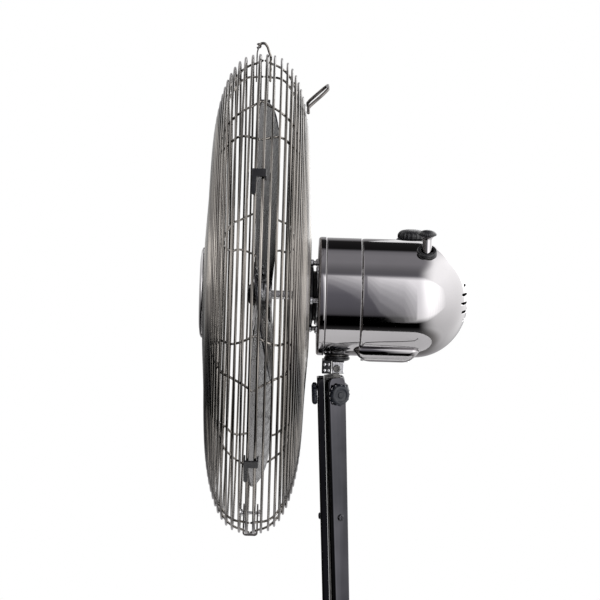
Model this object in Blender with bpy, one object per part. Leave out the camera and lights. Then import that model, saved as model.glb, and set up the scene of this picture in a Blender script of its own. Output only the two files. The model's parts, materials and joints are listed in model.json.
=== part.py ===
"""Pedestal fan on three pressed legs.

Metres, +Z up, the fan blows towards -Y. The origin is on the floor, at the centre of the
object's own box. The head is drawn in its own frame: the tilt pin is the frame's origin, the fan's
axis runs along -Y at FAN_AXIS above it, and the frame is pitched by REST_PITCH.
"""
import math

import bmesh
import bpy
from mathutils import Matrix, Vector

MM = 0.001
GAP = 0.3 * MM

# Stand
FOOT_REACH = 312 * MM
FOOT_RADIUS = 13 * MM
COLUMN_Y = FOOT_REACH / 4
PIVOT_Z = 954 * MM
PIVOT_BACK = 6 * MM
LEG_TOP = PIVOT_Z - 9 * MM
LEG_OFFSET = 9.4 * MM
LEG_THICK = 6.6 * MM
LEG_WALL = 1.6 * MM
LEG_WIDTH_TOP = 19.3 * MM
LEG_WIDTH_LOW = 16 * MM
LEG_BEND_Z = 700 * MM
LEG_END_Z = 20 * MM
LEG_END_REACH = FOOT_REACH - 8 * MM
LEG_ANGLES = {"front": -90, "right": 30, "left": 150}
KNOB_BELOW_PIVOT = 24.5 * MM
SCREW_BELOW_PIVOT = 141 * MM

# Head, in the pivot's frame
REST_PITCH = math.radians(-3.2)
FAN_AXIS = 66 * MM
GUARD_RADIUS = 221 * MM
GUARD_DEPTH = 49 * MM
GUARD_CROWN = 2.2 * MM
GUARD_PLANE = -76 * MM
GUARD_SPLIT = 3.3 * MM
WIRE = 2.2 * MM
RING_RADII = [92, 140, 186]
INNER_RING = 40
DISC_RADIUS = 66
DISC_DEPTH = 46.6
DISC_THICKNESS = 1.4
CHORD_OFFSET = 88 * MM
CHORD_START = 38
HOUSING_RADIUS = 54.5 * MM
HOUSING_WALL = 1.4 * MM
HOUSING_FRONT = -18 * MM
HOUSING_SEAM = 22.5 * MM
DOME_START = 70 * MM
DOME_END = 120 * MM
BLADE_RADIUS = 182 * MM
BLADE_PLANE = -69.5 * MM
BLADE_COUNT = 4
WHEEL_TEETH = 30
KNOB_SPOT = (26 * MM, 79 * MM)
KNOB_LEAN = 28.5
DIAL_SPOT = (-26 * MM, 67 * MM)
GEAR_SPOT = (20.9 * MM, 60.5 * MM)
CRANK_THROW = 6 * MM
VENT_HALF_LENGTHS = [13, 19, 21, 19, 13]
VENT_PITCH = 8
CLIP_ANGLES = {"right": 54, "left": -42}
HANDLE_HALF_WIDTH = 30 * MM

COLOURS = {
    "black_chrome": ((0.075, 0.07, 0.075), 0.12, 1.0),
    "dark_wire": ((0.10, 0.095, 0.10), 0.22, 1.0),
    "steel": ((0.62, 0.62, 0.63), 0.3, 1.0),
    "black_plastic": ((0.012, 0.012, 0.014), 0.38, 0.0),
    "grey_plastic": ((0.45, 0.46, 0.49), 0.4, 0.0),
    "blade_metal": ((0.16, 0.16, 0.18), 0.28, 1.0),
    "rubber": ((0.02, 0.02, 0.02), 0.8, 0.0),
    "copper": ((0.7, 0.32, 0.16), 0.35, 1.0),
    "iron": ((0.25, 0.25, 0.27), 0.5, 1.0),
    "bronze": ((0.6, 0.42, 0.2), 0.4, 1.0),
    "white_nylon": ((0.85, 0.84, 0.8), 0.5, 0.0),
}


def clear_scene():
    for obj in list(bpy.data.objects):
        bpy.data.objects.remove(obj)


def make_material(name):
    colour, roughness, metallic = COLOURS[name]
    material = bpy.data.materials.new(name)
    material.use_nodes = True
    shader = material.node_tree.nodes["Principled BSDF"]
    shader.inputs["Base Color"].default_value = (*colour, 1)
    shader.inputs["Roughness"].default_value = roughness
    shader.inputs["Metallic"].default_value = metallic
    return material


def add_object(name, bm, slot, parent=None, place=None):
    """Close a bmesh into a named object with its material, its parent and its place."""
    bmesh.ops.recalc_face_normals(bm, faces=bm.faces)
    mesh = bpy.data.meshes.new(name)
    bm.to_mesh(mesh)
    bm.free()
    mesh.materials.append(MATERIALS[slot])
    mesh.shade_smooth()
    mesh.set_sharp_from_angle(angle=math.radians(35))
    obj = bpy.data.objects.new(name, mesh)
    bpy.context.collection.objects.link(obj)
    obj.parent = parent
    if place is not None:
        obj.matrix_local = place
    return obj


def add_empty(name, location, parent=None, pitch=0.0):
    empty = bpy.data.objects.new(name, None)
    empty.empty_display_size = 0.05
    empty.location = location
    empty.rotation_euler = (pitch, 0, 0)
    empty.parent = parent
    bpy.context.collection.objects.link(empty)
    return empty


def along_y(y=0.0, x=0.0, z=0.0):
    """Turn a shape drawn about +Z so that its axis runs along +Y."""
    return Matrix.Translation((x, y, z)) @ Matrix.Rotation(math.radians(-90), 4, "X")


def facing(direction, origin):
    """Turn a shape drawn about +Z so that its axis runs along a direction."""
    turn = Vector((0, 0, 1)).rotation_difference(Vector(direction)).to_matrix().to_4x4()
    return Matrix.Translation(origin) @ turn


def turned(profile, sides=32, wave=None):
    """Turn a profile of (radius, height) pairs about +Z into one closed body.

    A profile that starts and ends on the axis is solid; any other is a ring. wave(angle, radius)
    may change the radius, for ribs and lobes.
    """
    bm = bmesh.new()
    rows = []
    for radius, height in profile:
        if radius == 0:
            rows.append([bm.verts.new((0, 0, height))])
            continue
        row = []
        for step in range(sides):
            angle = 2 * math.pi * step / sides
            reach = wave(angle, radius) if wave else radius
            row.append(bm.verts.new((reach * math.cos(angle), reach * math.sin(angle), height)))
        rows.append(row)
    pairs = list(zip(rows, rows[1:]))
    if profile[0][0] > 0:
        pairs.append((rows[-1], rows[0]))
    for low, high in pairs:
        join_rows(bm, low, high, sides)
    return bm


def join_rows(bm, low, high, sides):
    for step in range(sides):
        after = (step + 1) % sides
        corners = [low[step % len(low)], low[after % len(low)]]
        corners += [high[after % len(high)], high[step % len(high)]]
        unique = list(dict.fromkeys(corners))
        if len(unique) > 2:
            bm.faces.new(unique)


def plate(outline, thickness, holes=()):
    """Extrude a closed outline, with its holes, from z = 0 to its thickness."""
    bm = bmesh.new()
    edges = []
    for loop in (outline, *holes):
        verts = [bm.verts.new((x, y, 0)) for x, y in loop]
        edges += [bm.edges.new((verts[i - 1], verts[i])) for i in range(len(verts))]
    bmesh.ops.triangle_fill(bm, use_beauty=True, edges=edges)
    grown = bmesh.ops.extrude_face_region(bm, geom=list(bm.faces))["geom"]
    moved = [item for item in grown if isinstance(item, bmesh.types.BMVert)]
    bmesh.ops.translate(bm, verts=moved, vec=(0, 0, thickness))
    return bm


def circle(radius, x=0.0, y=0.0, sides=24):
    angles = [2 * math.pi * step / sides for step in range(sides)]
    return [(x + radius * math.cos(a), y + radius * math.sin(a)) for a in angles]


def rounded_box(width, depth, radius, steps=4):
    """A rectangle with round corners, centred on the origin."""
    points = []
    for quarter, (sx, sy) in enumerate([(1, 1), (-1, 1), (-1, -1), (1, -1)]):
        for step in range(steps + 1):
            angle = math.radians(90 * (quarter + step / steps))
            x = sx * (width / 2 - radius) + radius * math.cos(angle)
            y = sy * (depth / 2 - radius) + radius * math.sin(angle)
            points.append((x, y))
    return points


def tube(points, radius, sides=6, closed=False, bm=None):
    """Sweep a round section along a path, closed on itself or capped at both ends."""
    bm = bm or bmesh.new()
    points = [Vector(p) for p in points]
    count = len(points)
    rows = []
    normal = None
    for index, point in enumerate(points):
        before = points[index - 1] if closed or index else point
        after = points[(index + 1) % count] if closed or index + 1 < count else point
        heading = (after - before).normalized()
        if normal is None:
            normal = heading.orthogonal().normalized()
        normal = (normal - heading * normal.dot(heading)).normalized()
        side = heading.cross(normal)
        row = []
        for step in range(sides):
            angle = 2 * math.pi * step / sides
            offset = normal * math.cos(angle) + side * math.sin(angle)
            row.append(bm.verts.new(point + offset * radius))
        rows.append(row)
    pairs = list(zip(rows, rows[1:]))
    if closed:
        pairs.append((rows[-1], rows[0]))
    for low, high in pairs:
        join_rows(bm, low, high, sides)
    if not closed:
        bm.faces.new(rows[0])
        bm.faces.new(rows[-1])
    return bm


def hide_as_cutter(obj):
    obj.hide_render = True
    obj.display_type = "WIRE"
    return obj


def apply_boolean(obj, other, operation, solver="EXACT"):
    modifier = obj.modifiers.new(operation.lower(), "BOOLEAN")
    modifier.operation = operation
    modifier.solver = solver
    modifier.object = hide_as_cutter(other)
    return obj


# ---- Stand -------------------------------------------------------------------------------------

def leg_path():
    """Points (reach, height) of a leg's centre line: straight down, then one long sweep outwards."""
    drop = LEG_BEND_Z - LEG_END_Z
    run = LEG_END_REACH - LEG_OFFSET
    radius = (run * run + drop * drop) / (2 * run)
    sweep = math.asin(drop / radius)
    points = [(LEG_OFFSET, LEG_TOP), (LEG_OFFSET, (LEG_TOP + LEG_BEND_Z) / 2)]
    for step in range(13):
        angle = sweep * step / 12
        reach = LEG_OFFSET + radius * (1 - math.cos(angle))
        points.append((reach, LEG_BEND_Z - radius * math.sin(angle)))
    return points


def leg_width(height):
    fall = min(1.0, (LEG_TOP - height) / (LEG_TOP - LEG_BEND_Z))
    return LEG_WIDTH_TOP + (LEG_WIDTH_LOW - LEG_WIDTH_TOP) * fall


def leg_section(width):
    """Pressed channel section (across, outwards): a shallow U with rounded outer corners."""
    half = width / 2
    front = LEG_THICK / 2
    bend = 2.2 * MM
    corner = [(half - bend * (1 - math.cos(a)), front - bend * (1 - math.sin(a)))
              for a in (0, math.radians(45), math.radians(90))]
    inner = half - LEG_WALL
    outer = [(half, -front)] + corner
    hollow = [(inner, -front), (inner, front - LEG_WALL)]
    return outer + [(-x, y) for x, y in reversed(outer)] + [(-x, y) for x, y in hollow] + hollow[::-1]


def make_leg(side):
    """One leg, drawn with its outer face towards +X and turned to its place about the column."""
    path = leg_path()
    bm = bmesh.new()
    rows = []
    for index, (reach, height) in enumerate(path):
        before = path[max(index - 1, 0)]
        after = path[min(index + 1, len(path) - 1)]
        slope = Vector((after[0] - before[0], 0, after[1] - before[1])).normalized()
        outwards = Vector((-slope.z, 0, slope.x))
        centre = Vector((reach, 0, height))
        section = leg_section(leg_width(height))
        rows.append([bm.verts.new(centre + outwards * out + Vector((0, across, 0)))
                     for across, out in section])
    count = len(rows[0])
    for low, high in zip(rows, rows[1:]):
        join_rows(bm, low, high, count)
    bm.faces.new(rows[0])
    bm.faces.new(rows[-1])
    leg = add_object("leg_" + side, bm, "black_chrome", place=column_turn(side))
    hole = add_object("leg_hole_" + side, turned([(0, -10 * MM), (2.4 * MM, -10 * MM),
                      (2.4 * MM, 10 * MM), (0, 10 * MM)], 12), "steel", place=knob_place(side, 0))
    apply_boolean(leg, hole, "DIFFERENCE")
    lower = add_object("screw_hole_" + side, turned([(0, -10 * MM), (1.9 * MM, -10 * MM),
                       (1.9 * MM, 10 * MM), (0, 10 * MM)], 12), "steel",
                       place=screw_place(side))
    return apply_boolean(leg, lower, "DIFFERENCE")


def column_turn(side):
    turn = Matrix.Rotation(math.radians(LEG_ANGLES[side]), 4, "Z")
    return Matrix.Translation((0, COLUMN_Y, 0)) @ turn


def knob_place(side, out):
    """Place on a leg's outer face, with +Z pointing away from the column."""
    height = PIVOT_Z - KNOB_BELOW_PIVOT
    return column_turn(side) @ facing((1, 0, 0), (LEG_OFFSET + out, 0, height))


def screw_place(side, out=0.0):
    height = PIVOT_Z - SCREW_BELOW_PIVOT
    return column_turn(side) @ facing((1, 0, 0), (LEG_OFFSET + out, 0, height))


def make_leg_knob(side):
    """Lobed clamp knob with its threaded stud, which passes the leg and enters the core."""
    face = LEG_THICK / 2 + GAP

    def lobes(angle, radius):
        if radius < 8 * MM:
            return radius
        return radius * (0.93 + 0.07 * math.cos(12 * angle))

    reach = -face - 3.2 * MM
    profile = [(0, reach), (2.1 * MM, reach), (2.1 * MM, 0), (9.0 * MM, 0), (10.5 * MM, 1.2 * MM),
               (10.5 * MM, 4.6 * MM), (8.4 * MM, 6.2 * MM), (4 * MM, 6.6 * MM), (0, 6.6 * MM)]
    bm = turned(profile, 36, lobes)
    return add_object("leg_knob_" + side, bm, "black_plastic", place=knob_place(side, face))


def make_leg_screw(side):
    face = LEG_THICK / 2 + GAP
    reach = -face - 3.2 * MM
    profile = [(0, reach), (1.6 * MM, reach), (1.6 * MM, 0), (3.2 * MM, 0), (3.2 * MM, 0.8 * MM),
               (2.2 * MM, 1.7 * MM), (0, 2.0 * MM)]
    return add_object("leg_screw_" + side, turned(profile, 16), "black_chrome",
                      place=screw_place(side, face))


def make_foot(side):
    """Rubber shoe: round and flat on the floor, drawn in to the leg's slanting end."""
    path = leg_path()
    (reach, height), (reach_before, height_before) = path[-1], path[-2]
    heading = Vector((reach - reach_before, 0, height - height_before)).normalized()
    outwards = Vector((-heading.z, 0, heading.x))
    across = Vector((0, 1, 0))
    end = Vector((reach, 0, height)) + heading * GAP
    sole = Vector((FOOT_REACH, 0, 0))
    bm = bmesh.new()
    rows = []
    for level in (0, 2 * MM):
        rows.append([sole + Vector((x, y, level)) for x, y in circle(FOOT_RADIUS, sides=20)])
    half_wide, half_thick = leg_width(height) / 2 + MM, LEG_THICK / 2 + MM
    rows.append([end + outwards * (x * half_thick) + across * (y * half_wide)
                 for x, y in circle(1, sides=20)])
    rows = [[bm.verts.new(point) for point in row] for row in rows]
    for low, high in zip(rows, rows[1:]):
        join_rows(bm, low, high, 20)
    bm.faces.new(rows[0])
    bm.faces.new(rows[-1])
    return add_object("foot_" + side, bm, "rubber", place=column_turn(side))


def tri_outline(inradius, corner):
    """Triangle with cut corners whose flats face the three legs."""
    points = []
    for side in LEG_ANGLES.values():
        flat = math.radians(side)
        for sign in (-1, 1):
            along = sign * (math.sqrt(3) * inradius - corner)
            points.append((inradius * math.cos(flat) - along * math.sin(flat),
                           inradius * math.sin(flat) + along * math.cos(flat)))
    return points


def make_core(name, bottom, top, inradius=5.8 * MM):
    """Triangular spacer inside the bundle of legs."""
    bm = plate(tri_outline(inradius, 2.2 * MM), top - bottom)
    return add_object(name, bm, "iron", place=Matrix.Translation((0, COLUMN_Y, bottom)))


# ---- Neck --------------------------------------------------------------------------------------

def across_x(thickness):
    """Turn an outline drawn in (y, z) and extruded along +Z so that it stands across the X axis."""
    turn = Matrix(((0, 0, 1, 0), (1, 0, 0, 0), (0, 1, 0, 0), (0, 0, 0, 1)))
    return Matrix.Translation((-thickness / 2, 0, 0)) @ turn


def make_neck_post(pivot):
    """Cast post: a tongue for the tilt pin above, a triangular stem between the legs below."""
    tongue = [(-9.5, -8.9), (-9.5, -8.4), (-3.4, -7.2), (-3.6, 0)]
    tongue += [(-3.6 * math.cos(a), 3.6 * math.sin(a)) for a in map(math.radians, (45, 90, 135))]
    tongue += [(3.6, 0), (1.5, -8.9)]
    tongue = [(y * MM, z * MM) for y, z in tongue]
    width = 17.4 * MM
    post = add_object("neck_post", plate(tongue, width), "iron", pivot, across_x(width))
    stem = plate(tri_outline(5.8 * MM, 2.2 * MM), 31.5 * MM)
    stem_place = Matrix.Translation((0, -PIVOT_BACK, -40 * MM))
    apply_boolean(post, add_object("post_stem", stem, "iron", pivot, stem_place), "UNION")
    bore = turned([(0, -20 * MM), (2.2 * MM, -20 * MM), (2.2 * MM, 20 * MM), (0, 20 * MM)], 16)
    bore_place = facing((1, 0, 0), (0, 0, 0))
    return apply_boolean(post, add_object("post_bore", bore, "iron", pivot, bore_place), "DIFFERENCE")


def make_tilt_pin(head):
    profile = [(0, -13.4), (3.4, -13.4), (3.4, -11.9), (1.9, -11.9), (1.9, 11.9), (3.4, 11.9),
               (3.4, 13.4), (0, 13.4)]
    bm = turned([(r * MM, x * MM) for r, x in profile], 20)
    return add_object("tilt_pin", bm, "iron", head, facing((1, 0, 0), (0, 0, 0)))


def make_tilt_bracket(head):
    """Inverted U: two cheeks on the tilt pin, and a bridge that carries the swivel pin."""
    half, wall, top, bridge, foot = 11.5 * MM, 2.3 * MM, 6.5 * MM, 4.2 * MM, -4.6 * MM
    inner = half - wall
    outline = [(-half, foot), (-inner, foot), (-inner, bridge), (inner, bridge), (inner, foot),
               (half, foot), (half, top), (-half, top)]
    depth = 11.5 * MM
    place = Matrix.Translation((0, 7 * MM, 0)) @ Matrix.Rotation(math.radians(90), 4, "X")
    bracket = add_object("tilt_bracket", plate(outline, depth), "steel", head, place)
    bore = turned([(0, -20 * MM), (2.2 * MM, -20 * MM), (2.2 * MM, 20 * MM), (0, 20 * MM)], 16)
    bore = add_object("bracket_bore", bore, "iron", head, facing((1, 0, 0), (0, 0, 0)))
    return apply_boolean(bracket, bore, "DIFFERENCE")


def make_neck_cover(head):
    """Moulded block in front of the bracket, which hides the tongue."""
    outline = rounded_box(17 * MM, 8.6 * MM, 1.5 * MM)
    bm = plate(outline, 12 * MM)
    return add_object("neck_cover", bm, "black_plastic", head,
                      Matrix.Translation((0, -9.4 * MM, -5.5 * MM)))


def make_swivel_pin(head):
    profile = [(0, 6.8), (3.9, 6.8), (3.9, 24.4), (6.2, 24.4), (6.2, 26.2), (0, 26.2)]
    bm = turned([(r * MM, z * MM) for r, z in profile], 20)
    return add_object("swivel_pin", bm, "iron", head)


def make_swivel_ring(name, slot, inner, outer, low, high, head):
    profile = [(inner, low), (outer, low), (outer, high), (inner, high)]
    bm = turned([(r * MM, z * MM) for r, z in profile], 28)
    return add_object(name, bm, slot, head)


# ---- Motor housing -----------------------------------------------------------------------------

def dome_profile(radius, start, end, steps=7):
    """Points (radius, depth) of the dome, from its rim to its tip."""
    points = []
    for step in range(steps + 1):
        angle = math.radians(90 * step / steps)
        points.append((radius * math.cos(angle), start + (end - start) * math.sin(angle)))
    points[-1] = (0, end)
    return points


def housing_envelope(name, head, grow=GAP):
    """The housing's outer shape, grown by the running gap, to trim what sits on it."""
    radius = HOUSING_RADIUS + grow
    profile = [(0, HOUSING_FRONT - 4 * MM), (radius, HOUSING_FRONT - 4 * MM)]
    profile += dome_profile(radius, DOME_START, DOME_END + grow)
    return add_object(name, turned(profile, 36), "iron", head, along_y(z=FAN_AXIS))


def box_object(name, low, high, slot, head):
    """A box between two corners given in millimetres."""
    outline = [(low[0], low[1]), (high[0], low[1]), (high[0], high[1]), (low[0], high[1])]
    bm = plate([(x * MM, y * MM) for x, y in outline], (high[2] - low[2]) * MM)
    return add_object(name, bm, slot, head, Matrix.Translation((0, 0, low[2] * MM)))


def post_hole(name, x, y, radius, low, high, head):
    bm = turned([(0, low), (radius, low), (radius, high), (0, high)], 20)
    return add_object(name, bm, "iron", head, Matrix.Translation((x, y, 0)))


def make_front_plate(head):
    """Motor front: a disc with a rim that laps the housing, and a hole for the shaft."""
    radius = HOUSING_RADIUS + 0.5 * MM
    profile = [(7 * MM, -20 * MM), (radius - 1.5 * MM, -20 * MM), (radius, -18.5 * MM),
               (radius, -13 * MM), (radius - 1.6 * MM, -13 * MM), (radius - 1.6 * MM, -17.6 * MM),
               (7 * MM, -17.6 * MM)]
    return add_object("motor_front_plate", turned(profile, 36), "black_chrome", head,
                      along_y(z=FAN_AXIS))


def make_front_shell(head):
    front, seam = -12.6 * MM, HOUSING_SEAM - GAP / 2
    outer, inner = HOUSING_RADIUS, HOUSING_RADIUS - HOUSING_WALL
    profile = [(inner, front), (outer, front), (outer, seam - MM), (outer - 0.6 * MM, seam),
               (inner, seam)]
    shell = add_object("housing_front_shell", turned(profile, 36), "black_chrome", head,
                       along_y(z=FAN_AXIS))
    apply_boolean(shell, post_hole("boss_hole", 0, 0, 9.6 * MM, 0, 30 * MM, head), "DIFFERENCE")
    slot = box_object("front_link_slot", (-31, 14, 0), (31, 60, 26), "iron", head)
    return apply_boolean(shell, slot, "DIFFERENCE")


def make_rear_shell(head):
    """Cylinder and dome in one deep-drawn shell, open at the front, with vent slots behind."""
    seam = HOUSING_SEAM + GAP / 2
    outer, inner = HOUSING_RADIUS, HOUSING_RADIUS - HOUSING_WALL
    outside = dome_profile(outer, DOME_START, DOME_END)
    inside = dome_profile(inner, DOME_START, DOME_END - HOUSING_WALL)[::-1]
    rim = [(inner, seam), (outer - 0.6 * MM, seam), (outer, seam + MM)]
    bm = turned_cup(rim + outside, inside, 36)
    shell = add_object("housing_rear_shell", bm, "black_chrome", head, along_y(z=FAN_AXIS))
    for index, half in enumerate(VENT_HALF_LENGTHS):
        height = FAN_AXIS / MM + (index - 2) * VENT_PITCH
        vent = box_object(f"vent_{index}", (-half, 95, height - 1.6), (half, 130, height + 1.6),
                          "iron", head)
        apply_boolean(shell, vent, "DIFFERENCE")
    slot = box_object("rear_link_slot", (-31, 10, 0), (31, 72, 26), "iron", head)
    apply_boolean(shell, slot, "DIFFERENCE")
    for name, (x, y) in (("knob_hole", KNOB_SPOT), ("dial_hole", DIAL_SPOT)):
        apply_boolean(shell, post_hole(name, x, y, 5.2 * MM, 90 * MM, 140 * MM, head), "DIFFERENCE")
    return shell


def on_housing(y, lean):
    """Place on the fan's axis, with +Z leaning out through the housing, degrees from upright."""
    turn = Matrix.Rotation(math.radians(lean), 4, "Y")
    return Matrix.Translation((0, y, FAN_AXIS)) @ turn


def turned_cup(outside, inside, sides):
    """A cup: an outer profile that ends on the axis, and an inner one that comes back from it."""
    bm = bmesh.new()
    rows = []
    for radius, height in outside + inside:
        if radius == 0:
            rows.append([bm.verts.new((0, 0, height))])
            continue
        rows.append([bm.verts.new((radius * math.cos(a), radius * math.sin(a), height))
                     for a in (2 * math.pi * step / sides for step in range(sides))])
    tip = len(outside) - 1
    pairs = list(zip(rows[:tip + 1], rows[1:tip + 1]))
    pairs += list(zip(rows[tip + 1:], rows[tip + 2:]))
    pairs.append((rows[-1], rows[0]))
    for low, high in pairs:
        join_rows(bm, low, high, sides)
    return bm


def tub_section(inset):
    """Section (x, z) of the tub: upright sides and a bottom that rises towards them."""
    half = [(-36 + inset, 26), (-36 + inset, 16 + inset / 2), (-30 + inset / 2, 11.6 + inset),
            (-21, 9 + inset)]
    outline = half + [(-x, z) for x, z in reversed(half)]
    return [(x * MM, z * MM) for x, z in outline]


def tub_block(name, slot, inset, front, rear, head):
    bm = plate(tub_section(inset), (rear - front) * MM)
    place = Matrix.Translation((0, rear * MM, 0)) @ Matrix.Rotation(math.radians(90), 4, "X")
    return add_object(name, bm, slot, head, place)


def make_bottom_cover(head):
    """Shallow tub under the housing, over the oscillation link."""
    front, rear, wall = 12, 77, 1.4
    tub = tub_block("bottom_cover", "black_chrome", 0, front, rear, head)
    hollow = tub_block("tub_hollow", "iron", wall, front + wall, rear - wall, head)
    apply_boolean(tub, hollow, "DIFFERENCE")
    return apply_boolean(tub, housing_envelope("tub_trim", head), "DIFFERENCE")


# ---- Controls ----------------------------------------------------------------------------------

def make_oscillation_knob(head):
    """Mushroom knob on a long stem: pushed down it engages the gearbox clutch."""
    place = Matrix.Translation((*KNOB_SPOT, 0))
    profile = [(0, 96), (3.2, 96), (3.2, 108), (4.4, 110), (4.4, 126), (6, 128), (8.5, 129),
               (8.4, 130.4), (6.6, 132.2), (3.8, 133.4), (0, 133.8)]
    bm = turned([(r * MM, z * MM) for r, z in profile], 28)
    return add_object("oscillation_knob", bm, "black_plastic", head, place)


def make_collar(name, place, inner, outer, low, top, head):
    """Moulded flange that follows the round housing under it."""
    profile = [(inner, low), (outer, low), (outer, top - 0.8), (outer - 0.8, top), (inner, top)]
    bm = turned([(r * MM, z * MM) for r, z in profile], 28)
    collar = add_object(name, bm, "black_plastic", head, place)
    return apply_boolean(collar, housing_envelope(name + "_trim", head), "DIFFERENCE")


def make_speed_dial(head):
    def ribs(angle, radius):
        if radius < 9 * MM:
            return radius
        return radius * (0.97 + 0.03 * math.cos(16 * angle))

    place = Matrix.Translation((*DIAL_SPOT, 0))
    profile = [(0, 98), (3, 98), (3, 119.6), (13.6, 119.6), (13.6, 122.6), (12.4, 124.6), (8.5, 126.6),
               (0, 127.6)]
    bm = turned([(r * MM, z * MM) for r, z in profile], 32, ribs)
    return add_object("speed_dial", bm, "black_plastic", head, place)


# ---- Motor and gearbox -------------------------------------------------------------------------

def make_round(name, slot, profile, head, sides=24, x=0.0, z=FAN_AXIS / MM, wave=None):
    """A turned part on a fore-and-aft axis; its (radius, depth) profile is in millimetres."""
    bm = turned([(r * MM, y * MM) for r, y in profile], sides, wave)
    return add_object(name, bm, slot, head, along_y(x=x * MM, z=z * MM))


def ring_profile(inner, outer, front, rear):
    return [(inner, front), (outer, front), (outer, rear), (inner, rear)]


def make_motor(head):
    make_round("motor_front_bell", "iron", [(5.2, -16.8), (8, -16.8), (10, -14), (42, -13), (44, -12),
               (44, -9.6), (12, -10.4), (5.2, -10.4)], head)
    make_round("front_bushing", "bronze", ring_profile(4.06, 4.9, -17, -9), head, 24)
    make_round("motor_rear_bell", "iron", [(5.2, 29.6), (12, 29.6), (42, 29), (44, 31), (44, 33),
               (10, 34), (8, 38), (5.2, 38)], head)
    make_round("rear_bushing", "bronze", ring_profile(4.06, 4.9, 29.6, 38.4), head, 24)

    def teeth(angle, radius):
        if radius > 30 * MM:
            return radius
        return radius + (4 * MM if math.cos(16 * angle) > 0.3 else 0)

    make_round("stator_core", "iron", ring_profile(25.2, 38, -2, 22), head, 48, wave=teeth)
    winding = [(31, -8.8), (35, -8), (35.5, -4), (34, -2.4), (30, -2.4), (29.5, -6)]
    make_round("front_winding", "copper", winding, head)
    make_round("rear_winding", "copper", [(r, 20 - y) for r, y in winding[::-1]], head)


def make_rotor_group(head):
    make_round("rotor_core", "iron", ring_profile(4.3, 24.6, -3, 23), head)
    shaft = [(0, -85), (2.4, -85), (2.4, -77), (4, -76), (4, 68), (0, 68)]
    make_round("shaft", "steel", shaft, head, 20)
    thread = [(4.3, 53)]
    for turn in range(5):
        thread += [(4.9, 53 + 3 * turn), (6.2, 54.5 + 3 * turn)]
    thread += [(4.9, 68), (4.3, 68)]
    make_round("worm", "steel", thread, head, 16)


def make_gear_train(head):
    spot = (GEAR_SPOT[0], GEAR_SPOT[1], 0)

    def teeth(angle, radius):
        if radius < 10 * MM:
            return radius
        return radius + 0.7 * MM * math.cos(WHEEL_TEETH * angle)

    profile = [(3.3, 63), (13.6, 63), (13.6, 69), (3.3, 69)]
    bm = turned([(r * MM, z * MM) for r, z in profile], 2 * WHEEL_TEETH, teeth)
    add_object("worm_wheel", bm, "white_nylon", head, Matrix.Translation(spot))
    crank = [(0, 18.5), (9, 18.5), (9, 21.5), (3, 21.5), (3, 74), (0, 74)]
    bm = turned([(r * MM, z * MM) for r, z in crank], 24)
    crank = add_object("oscillation_crank", bm, "steel", head, Matrix.Translation(spot))
    pin = turned([(0, 14.4 * MM), (1.9 * MM, 14.4 * MM), (1.9 * MM, 20 * MM), (0, 20 * MM)], 16)
    throw = Matrix.Translation((GEAR_SPOT[0], GEAR_SPOT[1] + CRANK_THROW, 0))
    apply_boolean(crank, add_object("crank_pin", pin, "steel", head, throw), "UNION")


def make_link_rod(head):
    """Flat link from the crank pin towards the neck; its neck eye is left free."""
    pin_y = GEAR_SPOT[1] + CRANK_THROW
    half = 4.4 * MM
    far_y = 31 * MM
    outline = [(half * math.cos(a), pin_y + half * math.sin(a)) for a in half_turn(0)]
    outline += [(half * math.cos(a), far_y + half * math.sin(a)) for a in half_turn(math.pi)]
    holes = [circle(2.2 * MM, 0, pin_y, 16), circle(2.2 * MM, 0, far_y, 16)]
    bm = plate(outline, 1.8 * MM, holes)
    place = Matrix.Translation((GEAR_SPOT[0], 0, 15.6 * MM))
    return add_object("link_rod", bm, "steel", head, place)


def half_turn(start, steps=8):
    return [start + math.pi * step / steps for step in range(steps + 1)]


def make_gearbox(head):
    """Cast bridge over the worm and its wheel, open below and at both ends."""
    low_x, high_x, low_z, high_z, wall = -10, 41, 44, 79, 2
    outline = [(low_x, low_z), (low_x, high_z), (high_x, high_z), (high_x, low_z),
               (high_x - wall, low_z), (high_x - wall, high_z - wall), (low_x + wall, high_z - wall),
               (low_x + wall, low_z)]
    depth = 38 * MM
    bm = plate([(x * MM, z * MM) for x, z in outline], depth)
    place = Matrix.Translation((0, 78.5 * MM, 0)) @ Matrix.Rotation(math.radians(90), 4, "X")
    return add_object("gearbox_case", bm, "iron", head, place)


# ---- Blade -------------------------------------------------------------------------------------

def blade_point(radius, share, side):
    """A point of a blade's skin: radius from the axis, share from leading to trailing edge."""
    reach = (radius - 13 * MM) / (BLADE_RADIUS - 13 * MM)
    chord = (30 + 92 * math.sin(math.radians(20 + 95 * reach)) ** 1.5) * MM
    lead = 8 * MM * math.sin(math.pi * reach)
    angle = ((share - 0.5) * chord + lead) / max(radius, 26 * MM)
    twist = math.radians(13 - 4 * reach)
    camber = 2.4 * MM * (1 - (2 * share - 1) ** 2)
    depth = (share - 0.5) * chord * math.tan(twist) - camber + side * 0.7 * MM
    return Vector((radius * math.cos(angle), radius * math.sin(angle), depth))


def blade_mesh(index):
    rows_count, steps = 6, 4
    radii = [9 * MM + (BLADE_RADIUS - 9 * MM) * row / rows_count for row in range(rows_count + 1)]
    turn = Matrix.Rotation(2 * math.pi * index / BLADE_COUNT, 4, "Z")
    bm = bmesh.new()
    rows = []
    for row, radius in enumerate(radii):
        shares = [step / steps for step in range(steps + 1)]
        if row == rows_count:
            radius -= 3 * MM
        top = [turn @ blade_point(radius, share, 1) for share in shares]
        low = [turn @ blade_point(radius, share, -1) for share in reversed(shares)]
        rows.append([bm.verts.new(point) for point in top + low])
    for low, high in zip(rows, rows[1:]):
        join_rows(bm, low, high, len(low))
    for end in (rows[0], rows[-1]):
        for step in range(steps):
            bm.faces.new((end[step], end[step + 1], end[-2 - step], end[-1 - step]))
    return bm


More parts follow.
